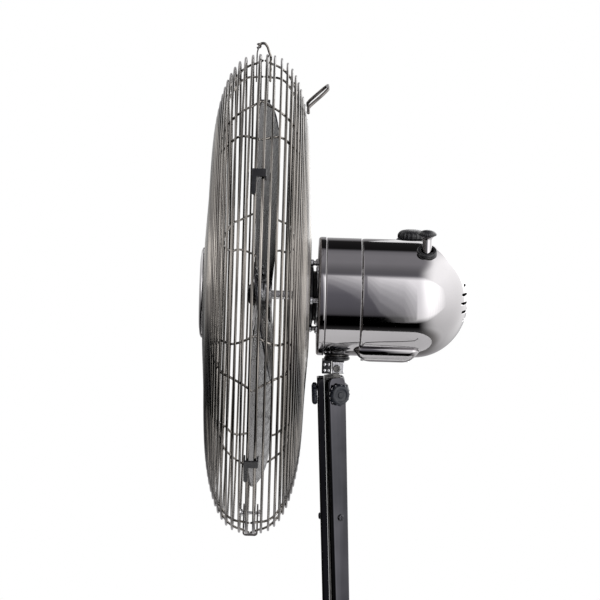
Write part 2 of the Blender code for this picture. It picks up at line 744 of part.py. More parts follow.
def make_blade(head):
    """Hub and four pitched blades in one piece."""
    place = along_y(y=BLADE_PLANE, z=FAN_AXIS)
    hub = [(4.3, -8), (8, -8), (12, -6.4), (13.4, -3), (13.4, 7.4), (4.3, 7.4)]
    bm = turned([(r * MM, y * MM) for r, y in hub], 32)
    fan = add_object("fan_blade", bm, "blade_metal", head, place)
    for index in range(BLADE_COUNT):
        blade = add_object(f"blade_{index}", blade_mesh(index), "blade_metal", head, place)
        apply_boolean(fan, blade, "UNION", solver="MANIFOLD")
    nut = [(2.7, -84.6), (7, -84.6), (10.5, -81.5), (11, -77.9), (2.7, -77.9)]
    make_round("blade_nut", "black_plastic", nut, head, 24)
    return fan


# ---- Guard -------------------------------------------------------------------------------------

def guard_depth(radius):
    """Half-depth of the guard at a radius from the fan's axis."""
    bulge = (1 - min(1, radius / GUARD_RADIUS) ** 3) ** (1 / 3)
    dip = math.exp(-((radius / GUARD_RADIUS - 0.45) / 0.2) ** 2)
    return max(GUARD_SPLIT, GUARD_DEPTH * bulge - GUARD_CROWN * dip)


def guard_ring(bm, radius, sign, segments, wire=WIRE / 2):
    depth = sign * guard_depth(radius)
    points = [(x, y, depth) for x, y in circle(radius, sides=segments)]
    tube(points, wire, 4, closed=True, bm=bm)


def chord_points(angle, sign):
    """A support wire in one plane beside the axis, with a point under every ring it crosses."""
    radii = [GUARD_RADIUS] + [radius * MM for radius in reversed(RING_RADII)]
    along = [math.sqrt(radius ** 2 - CHORD_OFFSET ** 2) for radius in radii]
    half = list(zip(along, radii))
    path = half + [(-step, radius) for step, radius in half[-2::-1]]
    points = []
    for step, radius in path:
        depth = sign * (guard_depth(radius) - WIRE * 0.4)
        x = step * math.cos(angle) - CHORD_OFFSET * math.sin(angle)
        y = step * math.sin(angle) + CHORD_OFFSET * math.cos(angle)
        points.append((x, y, depth))
    return points


def cage(name, sign, radii, head):
    """Rings and three pairs of support wires, welded into one half of the guard."""
    place = along_y(y=GUARD_PLANE, z=FAN_AXIS)
    rings = bmesh.new()
    for radius in radii:
        guard_ring(rings, radius * MM, sign, max(30, radius // 5))
    guard_ring(rings, GUARD_RADIUS, sign, 36, WIRE * 0.62)
    half = add_object(name, rings, "dark_wire", head, place)
    for index in range(6):
        angle = math.radians(CHORD_START + 60 * index)
        wire = tube(chord_points(angle, sign), WIRE / 2, 4)
        wire = add_object(f"{name}_wire_{index}", wire, "dark_wire", head, place)
        apply_boolean(half, wire, "UNION", solver="MANIFOLD")
    return half


def add_spokes(guard, name, sign, inner, outer, start, head):
    """Six straight wires from the middle of a guard half out to its innermost full ring."""
    place = along_y(y=GUARD_PLANE, z=FAN_AXIS)
    for index in range(6):
        angle = math.radians(60 * index)
        ends = []
        for radius, depth in ((inner * MM, start), (outer * MM, guard_depth(outer * MM))):
            reach = sign * (depth - WIRE * 0.3)
            ends.append((radius * math.cos(angle), radius * math.sin(angle), reach))
        spoke = add_object(f"{name}_{index}", tube(ends, WIRE / 2, 4), "dark_wire", head, place)
        apply_boolean(guard, spoke, "UNION", solver="MANIFOLD")
    return guard


def make_rear_guard(head):
    guard = cage("rear_guard", 1, RING_RADII, head)
    low = GUARD_PLANE + DISC_DEPTH * MM
    high = low + DISC_THICKNESS * MM
    profile = [(20.6 * MM, low), (DISC_RADIUS * MM, low), (DISC_RADIUS * MM, high), (20.6 * MM, high)]
    disc = add_object("rear_guard_disc", turned(profile, 36), "dark_wire", head, along_y(z=FAN_AXIS))
    apply_boolean(guard, disc, "UNION", solver="MANIFOLD")
    start = (DISC_DEPTH + DISC_THICKNESS / 2) * MM
    return add_spokes(guard, "rear_spoke", 1, DISC_RADIUS - 4, RING_RADII[0] + 1, start, head)


def make_front_guard(head):
    guard = cage("front_guard", -1, [INNER_RING, *RING_RADII], head)
    start = guard_depth(INNER_RING * MM)
    return add_spokes(guard, "front_spoke", -1, INNER_RING - 3, RING_RADII[0] + 1, start, head)


# ---- Guard fittings ----------------------------------------------------------------------------

def rim_place(head, angle=0.0, out=0.0):
    """Place on the guard's rim, angle degrees from the top: +Z outwards, +X along the rim."""
    turn = Matrix.Rotation(math.radians(angle), 4, "Y")
    centre = Matrix.Translation((0, GUARD_PLANE, FAN_AXIS))
    return centre @ turn @ Matrix.Translation((0, 0, GUARD_RADIUS + out))


def rim_strip(name, slot, outline, width, head, angle):
    """A strip bent over both rims: an outline in (depth, height) above the rim, in millimetres."""
    bm = plate([(y * MM, z * MM) for y, z in outline], width)
    return add_object(name, bm, slot, head, rim_place(head, angle) @ across_x(width))


def make_top_clip(head):
    """Sprung strip with an eye on top, whose legs reach down inside both rims."""
    outer = [(7.2, -24), (7.2, 4), (4.4, 11)]
    inner = [(5.7, -24), (5.7, 3.6), (3.4, 9.6)]
    outline = outer + [(0, 12.8)] + [(-y, z) for y, z in reversed(outer)]
    outline += [(-y, z) for y, z in inner] + [(0, 11.2)] + inner[::-1]
    return rim_strip("top_clip", "dark_wire", outline, 8 * MM, head, 0)


def make_rim_clip(side, angle, head):
    """Moulded hook over both rims with a tail that lies along one of them."""
    place = rim_place(head, angle) @ Matrix.Rotation(0 if angle > 0 else math.pi, 4, "Z")
    outline = [(-6.6, -5), (-6.6, 3.6), (6.6, 3.6), (6.6, -4), (5.2, -4), (5.2, 1.8), (-5.2, 1.8),
               (-5.2, -5)]
    bm = plate([(y * MM, z * MM) for y, z in outline], 7.6 * MM)
    clip = add_object("rim_clip_" + side, bm, "black_plastic", head, place @ across_x(7.6 * MM))
    tail = plate([(x * MM, y * MM) for x, y in ((0, -6.6), (22, -6.6), (22, -2.4), (0, -2.4))], 1.8 * MM)
    tail = add_object("clip_tail", tail, "black_plastic", head,
                      place @ Matrix.Translation((0, 0, 1.8 * MM)))
    return apply_boolean(clip, tail, "UNION")


def make_bottom_lug(head):
    """Folded tab over both rims at the bottom, drilled for its locking screw."""
    outline = [(-7.2, -22), (-7.2, 6), (-5.6, 7.4), (5.6, 7.4), (7.2, 6), (7.2, -22), (5.6, -22),
               (5.6, 4.4), (-5.6, 4.4), (-5.6, -22)]
    lug = rim_strip("bottom_lug", "dark_wire", outline, 8 * MM, head, 180)
    bore = turned([(0, -20 * MM), (1.8 * MM, -20 * MM), (1.8 * MM, 20 * MM), (0, 20 * MM)], 16)
    place = rim_place(head, 180, -14 * MM) @ along_y()
    return apply_boolean(lug, add_object("lug_bore", bore, "iron", head, place), "DIFFERENCE")


def make_lug_screw(head):
    profile = [(0, -10.4), (3, -10.4), (3.4, -9.2), (3.4, -7.6), (1.5, -7.6), (1.5, 9.5), (0, 9.5)]
    bm = turned([(r * MM, y * MM) for r, y in profile], 16)
    return add_object("lug_screw", bm, "steel", head, rim_place(head, 180, -14 * MM) @ along_y())


def make_handle(head):
    """Wire bail standing up and back from the top of the rear guard."""
    rise = math.radians(43)
    start = Vector((0, GUARD_PLANE + 41.6 * MM, FAN_AXIS + 177 * MM))
    lift = Vector((0, math.cos(rise), math.sin(rise)))
    length, bend = 25 * MM, 11 * MM
    side = Vector((HANDLE_HALF_WIDTH, 0, 0))
    half = [start + side]
    centre = start + side - Vector((bend, 0, 0)) + lift * (length - bend)
    for step in range(5):
        angle = math.radians(90 * step / 4)
        half.append(centre + Vector((bend * math.cos(angle), 0, 0)) + lift * (bend * math.sin(angle)))
    mirrored = [Vector((-point.x, point.y, point.z)) for point in reversed(half)]
    return add_object("carry_handle", tube(half + mirrored, 1.5 * MM, 8), "dark_wire", head)


def make_badge(head):
    front = GUARD_PLANE / MM - 53
    profile = [(0, front), (34, front), (39.5, front + 0.8), (42, front + 2.4), (42, front + 3.4),
               (0, front + 3.4)]
    make_round("badge", "black_chrome", profile, head, 36)
    rear = front + 6.4
    make_round("badge_retainer", "black_plastic", [(0, rear), (16, rear), (16, rear + 1.6),
               (0, rear + 1.6)], head, 24)


def make_guard_mount(head):
    """Threaded boss on the motor, with the ring nut that clamps the rear guard on it."""
    boss = [(9, -35.5), (20, -35.5), (20, -28), (27, -28), (27, -20.3), (9, -20.3)]
    make_round("guard_boss", "black_plastic", boss, head, 40)

    def grips(angle, radius):
        if radius < 25 * MM:
            return radius
        return radius + 1.1 * MM * math.cos(12 * angle)

    nut = [(20.4, -36.8), (27, -36.8), (31, -35.8), (31, -30), (20.4, -30)]
    make_round("guard_nut", "black_plastic", nut, head, 48, wave=grips)


def make_electrics(head):
    x, y = DIAL_SPOT[0] / MM, DIAL_SPOT[1] / MM
    box_object("speed_switch", (x - 10, y - 9, 82), (x + 10, y + 9, 97.5), "grey_plastic", head)
    box_object("capacitor", (-32, 85, 52), (0, 97, 78), "grey_plastic", head)


def build_stand():
    for side in LEG_ANGLES:
        make_leg(side)
        make_leg_knob(side)
        make_leg_screw(side)
        make_foot(side)
    make_core("leg_core", LEG_BEND_Z + 30 * MM, PIVOT_Z - 40.6 * MM)


def build_head(head):
    make_tilt_pin(head)
    make_tilt_bracket(head)
    make_neck_cover(head)
    make_swivel_pin(head)
    make_swivel_ring("swivel_collar", "black_plastic", 4.3, 12, 6.8, 10.9, head)
    make_swivel_ring("swivel_boss", "iron", 4.3, 8.8, 11.3, 24, head)
    make_front_plate(head)
    make_front_shell(head)
    make_rear_shell(head)
    make_bottom_cover(head)
    make_oscillation_knob(head)
    knob_seat = on_housing(KNOB_SPOT[1], KNOB_LEAN)
    make_collar("knob_collar", knob_seat, 6.2, 9.4, 48, 56.2, head)
    make_speed_dial(head)
    dial_seat = Matrix.Translation((*DIAL_SPOT, 0))
    make_collar("dial_collar", dial_seat, 4, 14.6, 100, 119.2, head)
    make_motor(head)
    make_rotor_group(head)
    make_gear_train(head)
    make_link_rod(head)
    make_gearbox(head)
    make_electrics(head)
    make_blade(head)
    make_guard_mount(head)
    make_rear_guard(head)
    make_front_guard(head)
    make_badge(head)
    make_top_clip(head)
    for side, angle in CLIP_ANGLES.items():
        make_rim_clip(side, angle, head)
    make_bottom_lug(head)
    make_lug_screw(head)
    make_handle(head)


clear_scene()
MATERIALS = {name: make_material(name) for name in COLOURS}
build_stand()
pivot_frame = add_empty("pivot_frame", (0, COLUMN_Y + PIVOT_BACK, PIVOT_Z))
head_frame = add_empty("head_frame", (0, 0, 0), pivot_frame, REST_PITCH)
make_neck_post(pivot_frame)
build_head(head_frame)
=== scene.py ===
"""The looks of a pedestal fan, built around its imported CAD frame.

Pieces of the head are drawn in the head's own frame in millimetres: the origin is the tilt pin,
+Y is the rear, +Z is up, and the fan's axis runs along Y at FAN_AXIS.
"""
import json
from math import acos, asin, copysign, cos, exp, pi, radians, sin, sqrt, tan

import bmesh
import bpy
from mathutils import Matrix, Vector


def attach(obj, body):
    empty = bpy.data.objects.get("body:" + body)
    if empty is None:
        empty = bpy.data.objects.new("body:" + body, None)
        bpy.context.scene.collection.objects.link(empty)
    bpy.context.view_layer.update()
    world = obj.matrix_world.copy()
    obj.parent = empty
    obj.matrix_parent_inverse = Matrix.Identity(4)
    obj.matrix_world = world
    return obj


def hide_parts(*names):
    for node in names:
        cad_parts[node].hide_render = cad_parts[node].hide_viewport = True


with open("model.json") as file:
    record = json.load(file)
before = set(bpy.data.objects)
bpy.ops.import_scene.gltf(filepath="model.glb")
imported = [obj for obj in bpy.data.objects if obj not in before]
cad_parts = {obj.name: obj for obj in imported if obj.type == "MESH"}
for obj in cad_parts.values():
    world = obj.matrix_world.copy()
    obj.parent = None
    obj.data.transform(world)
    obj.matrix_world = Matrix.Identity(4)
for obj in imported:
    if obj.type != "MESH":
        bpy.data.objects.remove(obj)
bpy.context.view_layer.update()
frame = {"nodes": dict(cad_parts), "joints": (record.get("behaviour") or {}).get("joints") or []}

MM = 0.001
JOINTS = {joint["name"]: joint for joint in frame["joints"]}
PIVOT = Vector(JOINTS["head_tilt"]["pos_m"])
HEAD_UP = Vector(JOINTS["head_swivel"]["axis"])
FORWARD = Vector(JOINTS["blade_spin"]["axis"])
HEAD_TURN = Matrix((Vector((1, 0, 0)), -FORWARD, HEAD_UP)).transposed().to_4x4()
SCALE = Matrix.Scale(MM, 4)
HEAD = Matrix.Translation(PIVOT) @ HEAD_TURN @ SCALE
FAN_AXIS = (Vector(JOINTS["blade_spin"]["pos_m"]) - PIVOT).dot(HEAD_UP) / MM
COLUMN_BACK = -6.0
COLUMN = Matrix.Translation(PIVOT + Vector((0, COLUMN_BACK * MM, 0))) @ SCALE

GUARD_RADIUS = 221.0
GUARD_DEPTH = 49.0
GUARD_CROWN = 2.2
GUARD_PLANE = -76.0
GUARD_SPLIT = 3.3
WIRE = 1.1
RIM_WIRE = 1.36
RING_STEP = 6.9
FRONT_RINGS_FROM = 47
REAR_RINGS_FROM = 66
SUPPORTS = 6
SUPPORT_START = 38
CHORD_OFFSET = 88.0
SLANT = 5.0
UNDER_RINGS = 1.9 * WIRE
HOUSING_RADIUS = 54.5
HOUSING_WALL = 1.4
HOUSING_SEAM = 19.9
SEAM_GAP = 0.15
DOME_START = 70.0
DOME_END = 120.0


# ---- Shapes ------------------------------------------------------------------------------------

def move(x=0.0, y=0.0, z=0.0):
    return Matrix.Translation((x, y, z))


def turn_by(degrees, axis="Z"):
    return Matrix.Rotation(radians(degrees), 4, axis)


def about_y(y=0.0, z=FAN_AXIS):
    """Turn a shape drawn about +Z so that its axis runs along +Y of the head."""
    return move(0, y, z) @ turn_by(-90, "X")


def facing(direction, origin=(0, 0, 0)):
    """Turn a shape drawn about +Z so that its axis runs along a direction."""
    turn = Vector((0, 0, 1)).rotation_difference(Vector(direction)).to_matrix().to_4x4()
    return Matrix.Translation(origin) @ turn


ON_AXIS = HEAD @ about_y()


def eased(points, radius, closed=False, steps=4):
    """Round the corners of a polyline; a corner's radius is held to its shorter side."""
    count = len(points)
    made = []
    for index, point in enumerate(points):
        if not closed and index in (0, count - 1):
            made.append(tuple(point))
            continue
        here = Vector(point)
        before, after = Vector(points[index - 1]), Vector(points[(index + 1) % count])
        reach = min(radius, 0.45 * (here - before).length, 0.45 * (after - here).length)
        start = here + (before - here).normalized() * reach
        end = here + (after - here).normalized() * reach
        for step in range(steps + 1):
            t = step / steps
            spot = start * (1 - t) ** 2 + here * (2 * t * (1 - t)) + end * t ** 2
            made.append(tuple(spot))
    return made


def circle(radius, x=0.0, y=0.0, sides=32):
    angles = [2 * pi * step / sides for step in range(sides)]
    return [(x + radius * cos(a), y + radius * sin(a)) for a in angles]


def arc(radius, first, last, steps, x=0.0, y=0.0):
    """Points of an arc from one angle to another, in degrees."""
    angles = [radians(first + (last - first) * step / steps) for step in range(steps + 1)]
    return [(x + radius * cos(a), y + radius * sin(a)) for a in angles]


def join_rows(bm, low, high, sides):
    """Bridge two rows of vertices with faces; a row may be a single vertex."""
    for step in range(sides):
        after = (step + 1) % sides
        corners = [low[step % len(low)], low[after % len(low)]]
        corners += [high[after % len(high)], high[step % len(high)]]
        unique = list(dict.fromkeys(corners))
        if len(unique) > 2:
            bm.faces.new(unique)


def bridge(bm, rows, sides, closed=False):
    """Join each row to the next, and the last to the first when closed."""
    for low, high in zip(rows, rows[1:] + rows[:1] if closed else rows[1:]):
        join_rows(bm, low, high, sides)


def turned(profile, sides=64, wave=None, ring=False, bm=None):
    """Turn a profile of (radius, height) pairs about +Z; a ring's profile closes on itself."""
    bm = bm or bmesh.new()
    rows = []
    for radius, height in profile:
        if radius < 1e-6:
            rows.append([bm.verts.new((0, 0, height))])
            continue
        row = []
        for step in range(sides):
            angle = 2 * pi * step / sides
            reach = wave(angle, radius, height) if wave else radius
            row.append(bm.verts.new((reach * cos(angle), reach * sin(angle), height)))
        rows.append(row)
    bridge(bm, rows, sides, ring)
    return bm


def lathe(profile, ease, sides, steps=4, wave=None, ring=False):
    """Turn a profile about +Z with its corners eased."""
    return turned(eased(profile, ease, ring, steps), sides, wave, ring)


def plate(outline, thickness):
    """Extrude a closed outline from z = 0 to its thickness."""
    bm = bmesh.new()
    verts = [bm.verts.new((x, y, 0)) for x, y in outline]
    edges = [bm.edges.new((verts[i - 1], verts[i])) for i in range(len(verts))]
    bmesh.ops.triangle_fill(bm, use_beauty=True, edges=edges)
    grown = bmesh.ops.extrude_face_region(bm, geom=list(bm.faces))["geom"]
    moved = [item for item in grown if isinstance(item, bmesh.types.BMVert)]
    bmesh.ops.translate(bm, verts=moved, vec=(0, 0, thickness))
    return bm


def lofted(rows):
    """A closed shape through rows of points, with a flat face on its first and last row."""
    bm = bmesh.new()
    rows = [[bm.verts.new(point) for point in row] for row in rows]
    bridge(bm, rows, len(rows[0]))
    bm.faces.new(rows[0])
    bm.faces.new(rows[-1])
    return bm


def tube(points, radius, sides=8, closed=False, bm=None, round_ends=False):
    """Sweep a round section along a path, closed on itself or capped at both ends."""
    bm = bm or bmesh.new()
    points = [Vector(p) for p in points]
    radii = [radius] * len(points)
    if round_ends:
        first, last = (points[0] - points[1]).normalized(), (points[-1] - points[-2]).normalized()
        points = [points[0] + first * radius * 0.7] + points + [points[-1] + last * radius * 0.7]
        radii = [radius * 0.6] + radii + [radius * 0.6]
    count = len(points)
    rows = []
    normal = None
    for index, point in enumerate(points):
        before = points[index - 1] if closed or index else point
        after = points[(index + 1) % count] if closed or index + 1 < count else point
        heading = (after - before).normalized()
        if normal is None:
            normal = heading.orthogonal().normalized()
        normal = (normal - heading * normal.dot(heading)).normalized()
        side = heading.cross(normal)
        row = []
        for step in range(sides):
            angle = 2 * pi * step / sides
            offset = normal * cos(angle) + side * sin(angle)
            row.append(bm.verts.new(point + offset * radii[index]))
        rows.append(row)
    bridge(bm, rows, sides, closed)
    if not closed:
        bm.faces.new(rows[0])
        bm.faces.new(rows[-1])
    return bm


def merged(*shapes):
    """Join several (bmesh, matrix) shapes into one."""
    whole = bmesh.new()
    for bm, place in shapes:
        bm.transform(place)
        mesh = bpy.data.meshes.new("part")
        bm.to_mesh(mesh)
        bm.free()
        whole.from_mesh(mesh)
        bpy.data.meshes.remove(mesh)
    return whole


def linked(name, data):
    obj = bpy.data.objects.new(name, data)
    bpy.context.scene.collection.objects.link(obj)
    return obj


def piece(name, bm, look, body, place=HEAD, replaces=(), bevel=0.0, angle=35, segments=3):
    """Make an object of a bmesh, hang it on a body's empty and hide the CAD parts that it replaces."""
    bmesh.ops.recalc_face_normals(bm, faces=bm.faces)
    bm.transform(place)
    mesh = bpy.data.meshes.new(name)
    bm.to_mesh(mesh)
    bm.free()
    mesh.materials.append(LOOKS[look][0])
    mesh.shade_smooth()
    mesh.set_sharp_from_angle(angle=radians(angle))
    obj = linked(name, mesh)
    if bevel:
        modifier = obj.modifiers.new("bevel", "BEVEL")
        modifier.width = bevel * MM
        modifier.segments = segments
        modifier.limit_method = "ANGLE"
        modifier.angle_limit = radians(30)
        modifier.harden_normals = True
    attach(obj, body)
    if replaces:
        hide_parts(*replaces)
    return obj


def keep_result(obj, all_layers=False):
    """Give an object the mesh that its modifiers make."""
    bpy.context.view_layer.update()
    graph = bpy.context.evaluated_depsgraph_get()
    made = bpy.data.meshes.new_from_object(obj.evaluated_get(graph), depsgraph=graph,
                                           preserve_all_data_layers=all_layers)
    obj.modifiers.clear()
    obj.data = made


def cut(obj, *shapes):
    """Take closed (bmesh, matrix) shapes out of an object, one after another."""
    cutter = linked("cutter", bpy.data.meshes.new("cutter"))
    for bm, place in shapes:
        bmesh.ops.recalc_face_normals(bm, faces=bm.faces)
        bm.transform(place)
        bm.to_mesh(cutter.data)
        bm.free()
        modifier = obj.modifiers.new("cut", "BOOLEAN")
        modifier.operation = "DIFFERENCE"
        modifier.solver = "EXACT"
        modifier.object = cutter
        keep_result(obj)
    bpy.data.objects.remove(cutter)


# ---- Materials ---------------------------------------------------------------------------------

def node(tree, kind, links=(), **values):
    """Add a node; values are its settings or inputs, links are (input, output socket) pairs."""
    made = tree.nodes.new(kind)
    for name, value in values.items():
        if hasattr(made, name):
            setattr(made, name, value)
        else:
            made.inputs[name.replace("_", " ")].default_value = value
    for name, socket in links:
        tree.links.new(socket, made.inputs[name])
    return made


def noise(tree, scale, detail=3.0, stretch=(1, 1, 1)):
    """A noise factor in the object's own coordinates; scale is in cycles per metre."""
    place = node(tree, "ShaderNodeTexCoord").outputs["Object"]
    mapping = node(tree, "ShaderNodeMapping", [("Vector", place)], Scale=stretch)
    made = node(tree, "ShaderNodeTexNoise", [("Vector", mapping.outputs[0])], Scale=scale,
                Detail=detail, Roughness=0.55)
    return made.outputs["Fac"]


def spread(tree, factor, low, high):
    """Map the middle of a noise factor onto a range."""
    made = node(tree, "ShaderNodeMapRange", [("Value", factor)], From_Min=0.3, From_Max=0.7,
                To_Min=low, To_Max=high)
    return made.outputs["Result"]


def blended(tree, factor, first, second):
    made = node(tree, "ShaderNodeMix", [(0, factor)], data_type="RGBA")
    made.inputs[6].default_value = (*first, 1)
    made.inputs[7].default_value = (*second, 1)
    return made.outputs[2]


def make_look(name, colours, rough, metallic=0.0, mottle=30, haze=90, grain=0, depth=0.0,
              stretch=(1, 1, 1), coat=0.0, specular=0.5):
    """Two colours mottled together, a roughness range worn in by a second noise, and a grain."""
    material = bpy.data.materials.new(name)
    material.use_nodes = True
    tree = material.node_tree
    shader = tree.nodes["Principled BSDF"]
    plain = {"Metallic": metallic, "Coat Weight": coat, "Coat Roughness": 0.08,
             "Specular IOR Level": specular}
    for socket, value in plain.items():
        shader.inputs[socket].default_value = value
    tint = blended(tree, spread(tree, noise(tree, mottle, 3.0, stretch), 0, 1), *colours)
    tree.links.new(tint, shader.inputs["Base Color"])
    wear = spread(tree, noise(tree, haze, 6.0, stretch), *rough)
    tree.links.new(wear, shader.inputs["Roughness"])
    if grain:
        bump = node(tree, "ShaderNodeBump", [("Height", noise(tree, grain, 2.0, stretch))],
                    Strength=depth, Distance=0.0002)
        tree.links.new(bump.outputs[0], shader.inputs["Normal"])
    return material


LOOKS = {
    "chrome": (make_look("black_chrome_plate", [(0.29, 0.28, 0.285), (0.33, 0.32, 0.325)],
                         (0.03, 0.055), 1.0, 14, 60, 12, 0.015), "black_chrome"),
    "leg": (make_look("black_chrome_leg", [(0.026, 0.026, 0.029), (0.042, 0.041, 0.046)],
                      (0.03, 0.07), 1.0, 20, 80, 25, 0.05), "black_chrome"),
    # The wires' colour mixes near black with cream in random streaks along the fan's axis: painted
    # highlight and painted shade that stand in for the bright and dark streaks light draws on plated
    # wire.
    "wire": (make_look("plated_wire_painted_highlights", [(0.02, 0.019, 0.018), (0.26, 0.24, 0.22)],
                       (0.05, 0.14), 1.0, 260, 300, 900, 0.05, (0.03, 1, 0.03)), "dark_wire"),
    "wire_dark": (make_look("plated_strip", [(0.09, 0.083, 0.08), (0.14, 0.13, 0.125)],
                            (0.2, 0.34), 1.0, 90, 240, 700, 0.12), "dark_wire"),
    "cast": (make_look("bright_casting", [(0.5, 0.5, 0.51), (0.66, 0.66, 0.67)],
                       (0.22, 0.36), 1.0, 160, 320, 1400, 0.25), "steel"),
    "steel": (make_look("bright_steel", [(0.58, 0.58, 0.59), (0.68, 0.68, 0.69)],
                        (0.14, 0.26), 1.0, 140, 420, 1800, 0.12, (1, 0.2, 1)), "steel"),
    "iron": (make_look("dull_iron", [(0.10, 0.098, 0.096), (0.17, 0.165, 0.16)],
                       (0.38, 0.6), 1.0, 110, 260, 1500, 0.35), "iron"),
    "plastic": (make_look("black_moulding", [(0.005, 0.005, 0.006), (0.010, 0.010, 0.012)],
                          (0.26, 0.40), 0.0, 80, 200, 3200, 0.22, coat=0.1, specular=0.3),
                "black_plastic"),
    "grip": (make_look("blue_black_moulding", [(0.004, 0.005, 0.009), (0.008, 0.010, 0.016)],
                       (0.26, 0.40), 0.0, 80, 200, 3000, 0.22, coat=0.08, specular=0.25),
             "black_plastic"),
    "grey": (make_look("grey_moulding", [(0.42, 0.43, 0.46), (0.50, 0.51, 0.54)],
                       (0.36, 0.50), 0.0, 80, 200, 2600, 0.2), "grey_plastic"),
    "blade": (make_look("blade_lacquer", [(0.03, 0.03, 0.034), (0.038, 0.038, 0.042)],
                        (0.22, 0.34), 1.0, 16, 70, 500, 0.06, coat=0.3), "blade_metal"),
    "rubber": (make_look("rubber_shoe", [(0.014, 0.014, 0.014), (0.034, 0.033, 0.032)],
                         (0.62, 0.85), 0.0, 120, 300, 1600, 0.5), "rubber"),
    "copper": (make_look("enamelled_copper", [(0.55, 0.22, 0.09), (0.74, 0.36, 0.18)],
                         (0.25, 0.42), 1.0, 90, 300, 900, 0.5, (1, 4, 1)), "copper"),
    "bronze": (make_look("sintered_bronze", [(0.48, 0.32, 0.14), (0.66, 0.46, 0.22)],
                         (0.38, 0.55), 1.0, 200, 400, 1800, 0.3), "bronze"),
    "nylon": (make_look("white_nylon_moulding", [(0.76, 0.75, 0.70), (0.86, 0.85, 0.81)],
                        (0.38, 0.55), 0.0, 80, 200, 2000, 0.2), "white_nylon"),
}


def dress_frame():
    """Give every CAD node that stays on show the look of its slot."""
    by_slot = {slot: look for look, slot in reversed(LOOKS.values())}
    for cad_node in frame["nodes"].values():
        if cad_node.hide_render:
            continue
        slot = next((m.name for m in cad_node.data.materials if m), "").split(".")[0]
        look = by_slot.get(slot, LOOKS["iron"][0])
        cad_node.data.materials.clear()
        cad_node.data.materials.append(look)


# ---- Guard -------------------------------------------------------------------------------------

def guard_curve(steps=720):
    """Fine points (radius, depth) of a guard half's section, from the axis to the rim."""
    points = []
    for step in range(steps + 1):
        angle = radians(90 * step / steps)
        share = sin(angle) ** (2 / 3)
        dip = GUARD_CROWN * exp(-((share - 0.45) / 0.2) ** 2)
        depth = GUARD_DEPTH * max(0.0, cos(angle)) ** (2 / 3) - dip
        points.append(Vector((GUARD_RADIUS * share, max(GUARD_SPLIT, depth))))
    return points


CURVE = guard_curve()


def section_points(inner, step, sink=0.0):
    """Points at even steps along the section from a radius to the rim, sunk inside it."""
    inside = [p for p in CURVE if p.x >= inner]
    lengths = [0.0]
    for before, after in zip(inside, inside[1:]):
        lengths.append(lengths[-1] + (after - before).length)
    count = max(2, round(lengths[-1] / step))
    made = []
    at = 0
    for index in range(count + 1):
        target = lengths[-1] * index / count
        while at < len(lengths) - 2 and lengths[at + 1] < target:
            at += 1
        along = (inside[min(at + 1, len(inside) - 1)] - inside[max(at - 1, 0)]).normalized()
        outwards = Vector((-along.y, along.x))
        share = (target - lengths[at]) / max(1e-9, lengths[at + 1] - lengths[at])
        made.append(inside[at].lerp(inside[at + 1], share) - outwards * sink)
    return made


def ring_wires(inner, sign):
    """Rings at even steps over one half of the guard, and the heavier wire of its rim."""
    bm = bmesh.new()
    for point in section_points(inner, RING_STEP)[:-1]:
        path = [(x, y, sign * point.y) for x, y in circle(point.x, sides=96)]
        tube(path, WIRE, closed=True, bm=bm)
    path = [(x, y, sign * GUARD_SPLIT) for x, y in circle(GUARD_RADIUS, sides=128)]
    return tube(path, RIM_WIRE, 10, closed=True, bm=bm)


def support_wires(sign):
    """Support wires under the rings: each crosses the side wall on the slant at both its ends,
    and runs in one line over the face."""
    bm = bmesh.new()
    wall_width, wall_depth = 18, 36
    points = list(reversed(section_points(CHORD_OFFSET, 5.0, UNDER_RINGS)))
    reach = acos(CHORD_OFFSET / GUARD_RADIUS)
    for index in range(SUPPORTS):
        middle = radians(SUPPORT_START + 360 / SUPPORTS * index)
        half = []
        for point in points:
            radius = max(point.x, CHORD_OFFSET)
            share = min(1.0, (GUARD_RADIUS - radius) / wall_width)
            slant = radians(SLANT) * min(1.0, point.y / wall_depth) * (1 - share)
            angle = min(reach, acos(CHORD_OFFSET / radius))
            half.append((radius, angle - slant, point.y))
        path = []
        for side, row in ((1, half), (-1, half[::-1])):
            for radius, angle, depth in row[1:] if side < 0 else row:
                turn = middle + side * angle
                path.append((radius * sin(turn), -radius * cos(turn), sign * depth))
        tube(path, WIRE, bm=bm, round_ends=True)
    return bm


def guard_depth(radius):
    """Depth of a guard half's section at a radius."""
    return next(p.y for p in CURVE if p.x >= radius)


def make_guard():
    place = HEAD @ about_y(GUARD_PLANE)
    piece("front_guard_rings", ring_wires(FRONT_RINGS_FROM, -1), "wire", "head", place,
          ["front_guard"], angle=80)
    piece("rear_guard_rings", ring_wires(REAR_RINGS_FROM, 1), "wire", "head", place,
          ["rear_guard"], angle=80)
    piece("front_guard_supports", support_wires(-1), "wire", "head", place, angle=80)
    piece("rear_guard_supports", support_wires(1), "wire", "head", place, angle=80)
    piece("front_guard_spokes", spoke_wires(), "wire", "head", place, angle=80)
    make_rear_disc()


def spoke_wires():
    """Short radial wires around the badge, and the ring that they stand on."""
    bm = bmesh.new()
    count, start, end, flat, steps = 12, 30, 68, 40, 6
    for index in range(count):
        turn = radians(360 / count * (index + 0.5))
        path = []
        for step in range(steps + 1):
            radius = start + (end - start) * step / steps
            path.append((radius * cos(turn), radius * sin(turn),
                         -guard_depth(max(radius, flat)) + UNDER_RINGS))
        tube(path, WIRE, bm=bm, round_ends=True)
    path = [(x, y, -guard_depth(flat) + 0.4) for x, y in circle(36, sides=64)]
    return tube(path, WIRE, closed=True, bm=bm)


